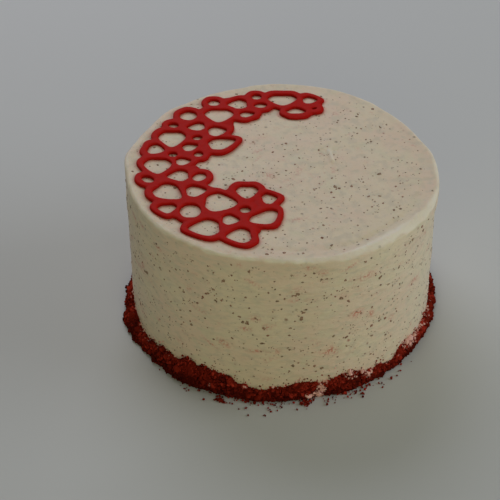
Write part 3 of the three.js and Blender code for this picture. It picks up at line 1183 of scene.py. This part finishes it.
    def coat(self) -> bpy.types.Object:
        """The icing as one closed surface.

        Returns:
            The piece, with what its material reads on each vertex.
        """
        rings = self.relief(self.rings())
        count = len(rings)
        points = np.vstack([rings.reshape(-1, 3), [[0.0, 0.0, 0.0], [0.0, 0.0, rings[-1, :, 2].mean()]]])
        last = (count - 1) * self.steps
        caps = np.vstack([
            pole_faces(count * self.steps, 0, self.steps, up=False),
            pole_faces(count * self.steps + 1, last, self.steps, up=True)])
        piece = mesh_piece("icing_coat", points, [ring_faces(count, self.steps), caps])
        paint(piece, "stain", self.stains(points))
        # Clean icing with a painted highlight on the rim and the ridge
        paint(piece, "clean_and_highlight", self.clean_and_highlight(points))
        # Painted red bounce light beside the piping
        paint(piece, "painted_red_bounce", self.painted_red_bounce_at(points))
        return piece

    def painted_red_bounce_at(self, points: np.ndarray) -> np.ndarray:
        """How much painted red bounce light from the piping falls on the icing beside it, by how far the
        net's nearest edge is.

        Args:
            points: Places on the finished surface, (vertices, 3).

        Returns:
            A share from 0 to 1 for each.
        """
        edges = HeartLattice().edges()[::2]
        squares = (edges ** 2).sum(axis=1)
        away = np.full(len(points), 99.0)
        on_top = FORM.top_height(points[:, 0], points[:, 1]) - points[:, 2] < 1.0
        for group in np.array_split(np.flatnonzero(on_top & (points[:, 0] < 35.0)), 24):
            plan = points[group, :2]
            nearest = (plan ** 2).sum(axis=1) + (squares - 2.0 * plan @ edges.T).min(axis=1)
            away[group] = np.sqrt(np.maximum(nearest, 0.0))
        return self.painted_red_bounce * swell(away, 0.0, self.painted_red_bounce_reach)

    def clean_and_highlight(self, points: np.ndarray) -> np.ndarray:
        """How clean the icing is, with its painted highlight, from 0 to 1: most on the rim, less so behind,
        and on the short ridge.

        Args:
            points: Places on the finished surface, (vertices, 3).

        Returns:
            A share from 0 to 1 for each.
        """
        x, y, z = points.T
        angle = np.arctan2(y, x)
        ragged = 0.8 * Drift(16).at(points, 5.0, 2)
        inside = FORM.edge_radius(angle) - np.hypot(x, y) + ragged
        below = FORM.top_height(x, y) - z + ragged
        wide, tall = self.rim_size(angle)
        near = 1.0 - rise(inside, wide - 1.2, wide + 1.0)
        high = 1.0 - rise(below, tall - 1.0, tall + 0.2)
        behind = 1.0 - 0.65 * turn_swell(angle, 90.0, 62.0)
        rim = near * high * behind * np.clip(0.8 + 0.45 * Drift(17).at(points, 9.0, 2), 0.0, 1.0)
        return np.maximum(rim, self.ridge_clean_and_highlight * self.ridge(x, y) * rise(z, 70.0, 75.0))

    def specks(self) -> bpy.types.Object:
        """Bits of sponge half sunk in the icing, flat to its surface.

        A table's size takes in the soft edge that the icing gives a speck, so the solid core is smaller.

        Returns:
            The piece.
        """
        scatter = Scatter(31, 0.35)
        draw = scatter.draw
        on_top, turn, out, high = self.speck_spots(draw)
        count = len(turn)
        places = np.where(on_top[:, None], polar(out, turn, FORM.height), FORM.wall_point(turn, high))
        normal = np.where(on_top[:, None], [0.0, 0.0, 1.0], polar(1.0, turn, 0.0))
        tangent = polar(1.0, turn + math.pi / 2.0, 0.0)
        spin = draw.normal(0.0, 0.7, count)[:, None]
        along = tangent * np.cos(spin) + np.cross(normal, tangent) * np.sin(spin)
        across = np.cross(normal, along)
        turns = np.stack([along, across, normal], axis=-1)
        size = scatter.sizes(count, 0.32, 0.42, 0.2, 1.0)
        spots = np.concatenate([TOP_SPOTS[:, 2], WALL_SPOTS[:, 2]])
        size[-len(spots):] = self.spot_core * spots
        radii = np.stack([size * draw.uniform(1.0, 1.6, count), size, self.speck_depth * size], axis=-1)
        places = self.relief(self.sloped(places)) - self.speck_sink * size[:, None] * normal
        tones = draw.beta(0.9, 1.6, count)
        return scatter.piece("sponge_specks", places, radii, turns, tones)

    def speck_spots(self, draw: np.random.Generator) -> tuple[np.ndarray, np.ndarray, np.ndarray, np.ndarray]:
        """Where the specks lie on the plain form: those drawn, many close to another, then the tables'.

        Args:
            draw: The random numbers.

        Returns:
            For each speck whether it is on the top, its angle, its radius if on the top, and its
            height if on the wall.
        """
        top, wall = self.top_specks, self.wall_specks
        count = top + wall
        widest, lowest = FORM.rim_radius - self.speck_margin, self.speck_margin
        highest = FORM.height - self.speck_margin
        turn = draw.uniform(0.0, 2.0 * math.pi, count)
        out = widest * np.sqrt(draw.uniform(0.0, 1.0, count))
        high = draw.uniform(lowest, highest, count)
        bunch = draw.random(count) < 0.4
        leader = draw.integers(0, count, count)
        turn = np.where(bunch, turn[leader] + draw.normal(0.0, 0.035, count), turn)
        out = np.where(bunch, out[leader] + draw.normal(0.0, 2.2, count), out)
        high = np.where(bunch, np.clip(high[leader] + draw.normal(0.0, 1.6, count), lowest, highest), high)
        out = np.clip(out, 0.0, widest)
        x, y, _ = TOP_SPOTS.T
        around_wall, up_wall, _ = WALL_SPOTS.T
        turn = np.concatenate([turn, np.arctan2(y, x), np.radians(around_wall)])
        out = np.concatenate([out, np.hypot(x, y), np.zeros(len(around_wall))])
        high = np.concatenate([high, np.zeros(len(x)), up_wall])
        on_top = np.repeat([True, False, True, False], [top, wall, len(TOP_SPOTS), len(WALL_SPOTS)])
        return on_top, turn, out, high

    def build(self) -> None:
        """Makes and dresses the icing and its specks."""
        hand_in(self.coat(), "icing", CreamIcing().material(), "iced_cake")
        hand_in(self.specks(), "icing", SpongeSpeck().material())


@dataclass
class HeartLattice:
    """Hearts piped side by side, their round strands run together into one net."""

    # A strand: its width and height, how far it sinks in and reaches into the opening, and its unevenness
    strand_width: float = 4.0
    strand_height: float = 1.65
    sink: float = 0.6
    inward: float = 0.1
    squareness: float = 0.52
    sway: float = 0.1
    swelling: float = 0.07

    # Points in a span of an outline and round a strand
    span_steps: int = 20
    section: int = 16

    # The skin: its fineness, how far creases are filled, how often it is smoothed, and the openings' plugs
    voxel: float = 0.36
    closing: float = 1.05
    smoothing: int = 4
    trim: float = 0.1
    plug_heights: tuple[float, float] = (-3.0, 5.0)

    def outline(self, row: np.ndarray, heart: bool, margin: float) -> np.ndarray:
        """A smooth closed curve round one opening.

        Unit points, the heart's tip at +X, are scaled by the opening's size plus twice the margin, turned and
        moved. Each span is a Hermite curve whose end slopes come from its neighbours, weighed by the square
        root of their distances.

        Args:
            row: Centre x, centre y, then size and turn, as in the tables.
            heart: Whether the opening is a heart, and not a rounded gap.
            margin: How far outside the opening, in millimetres.

        Returns:
            Places in plan, (samples, 2), by even steps of each span.
        """
        if heart:
            half = np.array([[0.5, 0.0], [0.22, 0.33], [-0.17, 0.5], [-0.47, 0.3]])
            unit = np.vstack([half, [[-0.49, 0.0]], half[:0:-1] * [1.0, -1.0]])
            across, along = row[2], row[3]
        else:
            ring = np.linspace(0.0, 2.0 * math.pi, 6, endpoint=False)
            unit = 0.5 * np.stack([np.cos(ring), np.sin(ring)], axis=-1)
            along, across = row[2], row[3]
        sized = unit * [along + 2.0 * margin, across + 2.0 * margin]
        turn = math.radians(row[4])
        spun = sized @ np.array([[math.cos(turn), math.sin(turn)], [-math.sin(turn), math.cos(turn)]])
        before, start, end, after = (np.roll(spun + row[:2], shift, axis=0) for shift in (1, 0, -1, -2))
        gap_a, gap_b, gap_c = (np.linalg.norm(b - a, axis=1)[:, None] ** 0.5
                               for a, b in ((before, start), (start, end), (end, after)))
        slope_a = ((start - before) / gap_a - (end - before) / (gap_a + gap_b)) * gap_b + (end - start)
        slope_b = ((after - end) / gap_c - (after - start) / (gap_b + gap_c)) * gap_b + (end - start)
        share = np.linspace(0.0, 1.0, self.span_steps, endpoint=False)[None, :, None]
        square, cube = share ** 2, share ** 3
        return ((2 * cube - 3 * square + 1) * start[:, None] + (cube - 2 * square + share) * slope_a[:, None]
                + (3 * square - 2 * cube) * end[:, None] + (cube - square) * slope_b[:, None]).reshape(-1, 2)

    def strand(self, row: np.ndarray, heart: bool) -> np.ndarray:
        """A closed strand that fills the room from the opening's outline to one a strand's width outside it.

        The section is an oval with fuller corners: out and up are the cosine and sine of the turn, each to
        the power squareness with its sign kept. Width and place sway a little along the strand.

        Args:
            row: The opening's row, as in the tables.
            heart: Whether the opening is a heart, and not a rounded gap.

        Returns:
            Places, (samples, section, 3), with height 0 at the icing.
        """
        inner = self.outline(row, heart, -self.inward)
        outer = self.outline(row, heart, self.strand_width)
        middle, side = (inner + outer) / 2.0, (outer - inner) / 2.0
        spots = np.concatenate([middle, np.zeros((len(middle), 1))], axis=1)
        middle = middle + side * (self.sway * Drift(41).at(spots, 4.5))[:, None]
        grown = 1.0 + self.swelling * Drift(42).at(spots, 6.0, 2)
        turn = np.linspace(0.0, 2.0 * math.pi, self.section, endpoint=False)
        full = [np.sign(wave) * np.abs(wave) ** self.squareness for wave in (np.cos(turn), np.sin(turn))]
        high = (self.strand_height + self.sink) / 2.0
        up = high * full[1][None] * grown[:, None] + high - self.sink
        plan = middle[:, None, :] + side[:, None, :] * (full[0][None] * grown[:, None])[..., None]
        return np.concatenate([plan, up[..., None]], axis=-1)

    def cells(self) -> list[tuple[np.ndarray, bool]]:
        """Every opening's row, and whether it is a heart."""
        return [(row, True) for row in HEARTS] + [(row, False) for row in GAPS]

    def edges(self) -> np.ndarray:
        """Plan points along the net's edges: round each opening, and round each strand where none cuts it.

        Returns:
            Places in plan, (points, 2).
        """
        inner = np.vstack([self.outline(row, heart, 0.0) for row, heart in self.cells()])
        outer = np.vstack([self.outline(row, heart, self.strand_width) for row, heart in self.cells()])
        for row, heart in self.cells():
            turn = math.radians(row[4])
            along, across = (row[3], row[2]) if heart else (row[2], row[3])
            u = (outer - row[:2]) @ [math.cos(turn), math.sin(turn)]
            v = (outer - row[:2]) @ [-math.sin(turn), math.cos(turn)]
            outer = outer[(u / along) ** 2 + (v / across) ** 2 > 0.25]
        return np.vstack([inner, outer])

    def plugs(self) -> bpy.types.Object:
        """Upright plugs the shape of the openings, to take away what other strands leave in them.

        Returns:
            The plugs in one mesh, which is removed again after use.
        """
        points, walls, caps = [], [], []
        first = 0
        for row, heart in self.cells():
            plan = self.outline(row, heart, self.trim)
            steps = len(plan)
            for height in self.plug_heights:
                points.append(np.column_stack([plan, np.full(steps, height)]))
            points.append(np.array([[row[0], row[1], height] for height in self.plug_heights]))
            walls.append(ring_faces(2, steps) + first)
            foot = first + 2 * steps
            caps += [pole_faces(foot, first, steps, up=False),
                     pole_faces(foot + 1, first + steps, steps, up=True)]
            first += 2 * steps + 2
        return mesh_piece("plugs", np.vstack(points), [np.vstack(walls), np.vstack(caps)])

    def dab(self, row: np.ndarray) -> np.ndarray:
        """A flattened ball where strands run together, as rings from its foot to its top.

        Args:
            row: Centre x, centre y, length, width and turn.

        Returns:
            Places, (rings, section, 3), with height 0 at the icing.
        """
        rings = np.linspace(-0.5 * math.pi, 0.5 * math.pi, 9)[1:-1, None]
        turn = np.linspace(0.0, 2.0 * math.pi, self.section, endpoint=False)[None]
        angle = math.radians(row[4])
        u = 0.5 * row[2] * np.cos(rings) * np.cos(turn)
        v = 0.5 * row[3] * np.cos(rings) * np.sin(turn)
        high = 0.5 * self.strand_height * np.sin(rings) + 0.36 * self.strand_height + 0.0 * turn
        return np.stack([row[0] + u * math.cos(angle) - v * math.sin(angle),
                         row[1] + u * math.sin(angle) + v * math.cos(angle), high], axis=-1)

    def reskin(self, piece: bpy.types.Object, name: str) -> None:
        """Adds a modifier that wraps all that is in the piece in one closed skin.

        Args:
            piece: The piece.
            name: The modifier's name.
        """
        remesh = piece.modifiers.new(name, "REMESH")
        remesh.mode = "VOXEL"
        remesh.voxel_size = self.voxel * METRES

    def piping(self) -> bpy.types.Object:
        """The strands and dabs, wrapped in one soft skin and laid on the icing.

        The skin is swollen and drawn back in by the same amount, which fills the creases between strands.
        Then the openings are cut clean, and the cut edges are softened.

        Returns:
            The piece, with its height on each vertex, which its material turns into painted shade down the
            flanks.
        """
        piece = self.strands()
        for step, move in enumerate((0.0, self.closing, -self.closing)):
            if move:
                swelling = piece.modifiers.new(f"swell {step}", "DISPLACE")
                swelling.mid_level = 0.0
                swelling.strength = move * METRES
            self.reskin(piece, f"one skin {step}")
        plugs = self.plugs()
        opened = piece.modifiers.new("open", "BOOLEAN")
        opened.operation = "DIFFERENCE"
        opened.solver = "EXACT"
        opened.object = plugs
        self.reskin(piece, "one skin again")
        soften = piece.modifiers.new("soften", "SMOOTH")
        soften.factor = 0.5
        soften.iterations = self.smoothing
        places = finished(piece)
        bpy.data.objects.remove(plugs)
        # Height share, which the material turns into painted shade down the flanks
        crest_shade = np.clip(places[:, 2] / self.strand_height, 0.0, 1.0)
        places[:, 2] += FORM.top_height(places[:, 0], places[:, 1])
        reshape(piece, places)
        paint(piece, "crest_shade", crest_shade)
        return piece

    def strands(self) -> bpy.types.Object:
        """All strands and dabs in one mesh, each still a closed body of its own.

        Returns:
            The piece, with height 0 at the icing.
        """
        points, quads, caps = [], [], []
        first = 0
        for strand in (self.strand(row, heart) for row, heart in self.cells()):
            quads.append(ring_faces(*strand.shape[:2], closed_rings=True) + first)
            points.append(strand.reshape(-1, 3))
            first += len(points[-1])
        for row in DABS:
            dab = self.dab(row)
            rings, steps = dab.shape[:2]
            quads.append(ring_faces(rings, steps) + first)
            ends = np.vstack([dab[0].mean(axis=0), dab[-1].mean(axis=0)])
            foot = first + rings * steps
            caps += [pole_faces(foot, first, steps, up=False),
                     pole_faces(foot + 1, first + (rings - 1) * steps, steps, up=True)]
            points.append(np.vstack([dab.reshape(-1, 3), ends]))
            first += len(points[-1])
        return mesh_piece("piped_hearts", np.vstack(points), [np.vstack(quads), np.vstack(caps)])

    def build(self) -> None:
        """Makes and dresses the piping."""
        hand_in(self.piping(), "red_piping", RedPiping().material(), "heart_lattice")


@dataclass(frozen=True)
class Grade:
    """One grade of crumb on the bank.

    climb is the stretch of the bank's face that it lies on, as in CrumbBand.face. sizes are the usual half
    size, its spread, and the least and most, in millimetres. proud is the range, in half sizes, of how far a
    crumb's middle is outside the face. Where it isn't given, all lie a little outside, by their size.
    """

    name: str
    seed: int
    count: int
    roughness: float
    climb: tuple[float, float]
    sizes: tuple[float, float, float, float]
    proud: tuple[float, float] | None = None
    lump: Lump = Lump.GRAIN


@dataclass
class CrumbBand:
    """Crumbs of red sponge pressed round the foot, a few on the wall above and some fallen in front."""

    # How far the bank reaches out, how far its back is inside the icing, and its mesh
    reach: float = 3.1
    buried: float = 1.5
    steps: int = 760
    face_rings: int = 20

    # The loose crumbs: the grades on the bank, those on the wall above, and those on the table
    grades: tuple[Grade, ...] = (
        Grade("fine_crumbs", 61, 6800, 0.32, (0.0, 0.97), (0.42, 0.28, 0.22, 0.8)),
        Grade("coarse_crumbs", 62, 2300, 0.38, (0.0, 0.93), (0.75, 0.22, 0.5, 1.3), (-0.2, 0.9)),
        Grade("crumb_clumps", 63, 170, 0.22, (0.05, 0.8), (1.35, 0.2, 0.9, 2.1), (-0.6, 0.3), Lump.CLUMP),
    )
    stray_count: int = 900
    fallen_count: int = 240

    # The two heaps on the table: angle in degrees, distance from the bank's foot, and its spread
    large_heap: tuple[float, float, float] = (247.0, 4.6, 0.8)
    small_heap: tuple[float, float, float] = (276.0, 3.0, 0.9)

    # The bank's section, as shares of the reach beyond the foot's radius and of the height, and the reach and
    # the height that its length is measured with
    section: tuple[tuple[float, float], ...] = (
        (1.0, 0.0), (0.95, 0.35), (0.65, 0.75), (0.28, 1.0), (-0.35, 1.02))
    usual_size: tuple[float, float] = (4.0, 7.0)
    finish: bpy.types.Material = field(default_factory=lambda: SpongeCrumb().material())

    def reach_at(self, angle: np.ndarray) -> np.ndarray:
        """How far the bank reaches out from the wall at an angle, uneven on the scale of a clump."""
        uneven = 1.0 + 0.3 * Drift(50).at(polar(FORM.rim_radius, angle, 0.0), 5.5, 3)
        return (self.reach + around(BAND_SWELLS, angle)) * uneven

    def height_at(self, angle: np.ndarray) -> np.ndarray:
        """The bank's height at an angle, its edge ragged on the scale of a crumb."""
        ragged = 1.0 + 0.2 * Drift(51).at(polar(FORM.rim_radius, angle, 0.0), 5.0, 3)
        return around(BAND_HEIGHTS, angle) * ragged

    def face(self, angle: np.ndarray, climb: np.ndarray, proud: np.ndarray | float = 0.0) -> np.ndarray:
        """Places on the bank's face.

        Args:
            angle: Angles round the foot.
            climb: From 0 at the floor to 1 at the wall, by length along the section.
            proud: How far outside the face, in millimetres.

        Returns:
            Places, (..., 3).
        """
        rows = np.array(self.section)
        lengths = np.linalg.norm(np.diff(rows * self.usual_size, axis=0), axis=1)
        span = np.concatenate([[0.0], np.cumsum(lengths)])
        out = np.interp(climb * span[-1], span, rows[:, 0])
        up = np.interp(climb * span[-1], span, rows[:, 1])
        radius = FORM.foot_radius + FORM.wall_wander(angle, 0.0) + out * self.reach_at(angle) + proud
        return polar(radius, angle, up * self.height_at(angle))

    def bank(self) -> bpy.types.Object:
        """The bank that the loose crumbs sit on: its face in relief, and a plain back inside the icing.

        Returns:
            The piece, with what its material reads on each vertex.
        """
        angle = np.linspace(0.0, 2.0 * math.pi, self.steps, endpoint=False)[None, :]
        climb = np.linspace(0.0, 1.0, self.face_rings)[:, None]
        points = self.face(*np.broadcast_arrays(angle, climb))
        lumps = 0.85 * Drift(52).at(points, 3.0, 2) + 0.4 * Drift(53).at(points, 1.2)
        radius = np.hypot(points[..., 0], points[..., 1])
        held = eased(climb / 0.12) * (1.0 - eased((climb - 0.85) / 0.15))
        out = lumps * held / radius
        points = points * np.stack([1.0 + out, 1.0 + out, 1.0 + 0.0 * out], axis=-1)
        points[..., 2] = np.maximum(points[..., 2] + 0.4 * lumps * held, 0.0)
        rings = np.concatenate([points, polar(FORM.foot_radius - self.buried, angle, 0.0)])
        quads = ring_faces(len(rings), self.steps, closed_rings=True)
        piece = mesh_piece("crumb_bank", rings.reshape(-1, 3), [quads])
        # Tone with painted shade low on the bank and painted light and shade by side
        paint(piece, "tone", (self.tone_and_painted_light(rings) + 0.2 + 0.25 * Drift(54).at(rings, 1.5)).ravel())
        paint(piece, "iced", 0.8 * self.iced_at(rings.reshape(-1, 3)))
        return piece

    def tone_and_painted_light(self, points: np.ndarray) -> np.ndarray:
        """What is added to a crumb's tone at each place: painted shade downwards, painted light and shade at
        some sides, and a random tone by clumps.

        Args:
            points: Places, (..., 3).

        Returns:
            A number for each.
        """
        angle = np.arctan2(points[..., 1], points[..., 0])
        # Painted shade: darker near the floor and low on the bank
        low = 1.0 - rise(points[..., 2], 0.5, 4.0)
        painted_shade_low_on_bank = 1.0 - rise(points[..., 2] / self.height_at(angle), 0.25, 0.85)
        # Painted light and shade by side
        sides = sum(strong * turn_swell(angle, middle, wide) for middle, wide, strong in CRUMB_PAINTED_LIGHT)
        return 0.3 * Drift(55).at(points, 6.0, 2) - 0.3 * low - 0.17 * painted_shade_low_on_bank + sides

    def iced_at(self, points: np.ndarray) -> np.ndarray:
        """How much icing is smeared over the crumbs at each place, from 0 to 1.

        One leaning streak over the whole height at the front, the patches of the table, a dusting at the
        right and a faint fringe along the bank's upper edge. Noise makes their sides uneven.

        Args:
            points: Places, (points, 3).

        Returns:
            A share from 0 to 1 for each.
        """
        angle = np.arctan2(points[:, 1], points[:, 0])
        height = points[:, 2] / np.maximum(self.height_at(angle), 1.0)
        angle = angle + math.radians(0.9) * Drift(56).at(points, 2.6, 2)
        leaning = angle + math.radians(1.2) * (1.0 - np.clip(height, 0.0, 1.0))
        streak = turn_swell(leaning, 282.5, 1.1)
        patches = sum(strong * turn_swell(angle, middle, wide) * swell(height, level, tall)
                      for middle, wide, level, tall, strong in ICED_PATCHES)
        dusting = 0.3 * turn_swell(angle, 337.0, 10.0) * rise(height, 0.2, 0.9)
        fringe = 0.4 * swell(height, 1.12, 0.13)
        return np.clip(streak + patches + dusting + fringe, 0.0, 1.0)

    def grains(self) -> None:
        """The grades of crumb over the bank's face, turned every way, each crumb with its own tone."""
        for grade in self.grades:
            scatter = Scatter(grade.seed, grade.roughness, grade.lump)
            draw, count = scatter.draw, grade.count
            angle = draw.uniform(0.0, 2.0 * math.pi, count)
            climb = draw.uniform(*grade.climb, count)
            size = scatter.sizes(count, *grade.sizes)
            proud = draw.uniform(*grade.proud, count) * size if grade.proud else 0.35 * size + 0.25
            radii = size[:, None] * draw.uniform(0.7, 1.35, (count, 3))
            places = self.face(angle, climb, proud)
            places[:, 2] = np.maximum(places[:, 2] + 0.2 * size, 1.05 * radii.max(axis=1))
            # Random tone plus painted light and shade by height and side
            tones = draw.beta(2.4, 2.8, count) + self.tone_and_painted_light(places)
            piece = scatter.piece(grade.name, places, radii, scatter.turns(count), tones)
            iced = self.iced_at(places) * draw.uniform(0.3, 1.3, count)
            scatter.mark(piece, "iced", np.clip(iced, 0.0, 1.0))
            hand_in(piece, "crumbs", self.finish)

    def strays(self) -> None:
        """Crumbs stuck to the icing above the bank, fewer with height."""
        scatter = Scatter(64, 0.32)
        draw, count = scatter.draw, self.stray_count
        angle = draw.uniform(0.0, 2.0 * math.pi, count)
        size = scatter.sizes(count, 0.36, 0.3, 0.18, 0.8)
        above = draw.exponential(1.3, count)
        z = np.minimum(self.height_at(angle) + above - 0.2, 26.0)
        places = FORM.wall_point(angle, z, 0.3 * size)
        radii = size[:, None] * draw.uniform(0.7, 1.3, (count, 3))
        piece = scatter.piece("stray_crumbs", places, radii, scatter.turns(count), draw.beta(2.0, 2.0, count))
        scatter.mark(piece, "iced", np.clip(draw.uniform(-0.3, 0.7, count), 0.0, 1.0))
        hand_in(piece, "crumbs", self.finish)

    def fallen(self) -> None:
        """Crumbs that lie on the table in front, most of them close to the foot, with two small heaps."""
        scatter = Scatter(65, 0.35)
        draw, count = scatter.draw, self.fallen_count
        heap = draw.random(count)
        heaps = [heap < 0.24, (heap >= 0.24) & (heap < 0.36)]
        large_at, *large_away = self.large_heap
        small_at, *small_away = self.small_heap
        spread = np.where(draw.random(count) < 0.72, draw.normal(262.0, 17.0, count),
                          draw.normal(296.0, 11.0, count))
        angle = np.radians(np.select(
            heaps, [draw.normal(large_at, 1.0, count), draw.normal(small_at, 1.0, count)], spread))
        size = scatter.sizes(count, 0.42, 0.35, 0.2, 1.0)
        edge = FORM.foot_radius + self.reach_at(angle)
        away = np.select(heaps, [draw.normal(*large_away, count), draw.normal(*small_away, count)],
                         draw.exponential(2.6, count) + 0.6)
        radius = edge + np.clip(away, 0.4, 11.0)
        radii = size[:, None] * draw.uniform(0.75, 1.3, (count, 3))
        places = polar(radius, angle, 0.85 * radii.max(axis=1))
        turns = scatter.turns(count)
        piece = scatter.piece("fallen_crumbs", places, radii, turns, draw.beta(2.0, 2.6, count))
        scatter.mark(piece, "iced", np.zeros(count))
        hand_in(piece, "crumbs", self.finish)

    def build(self) -> None:
        """Makes and dresses the bank and all its crumbs."""
        hand_in(self.bank(), "crumbs", self.finish, "crumb_band")
        self.grains()
        self.strays()
        self.fallen()


def main() -> None:
    """Builds the room and the cake's parts in order."""
    logging.basicConfig(level=logging.INFO, format="%(message)s")
    Studio().build()
    IcedCake().build()
    HeartLattice().build()
    CrumbBand().build()


if __name__ == "__main__":
    main()
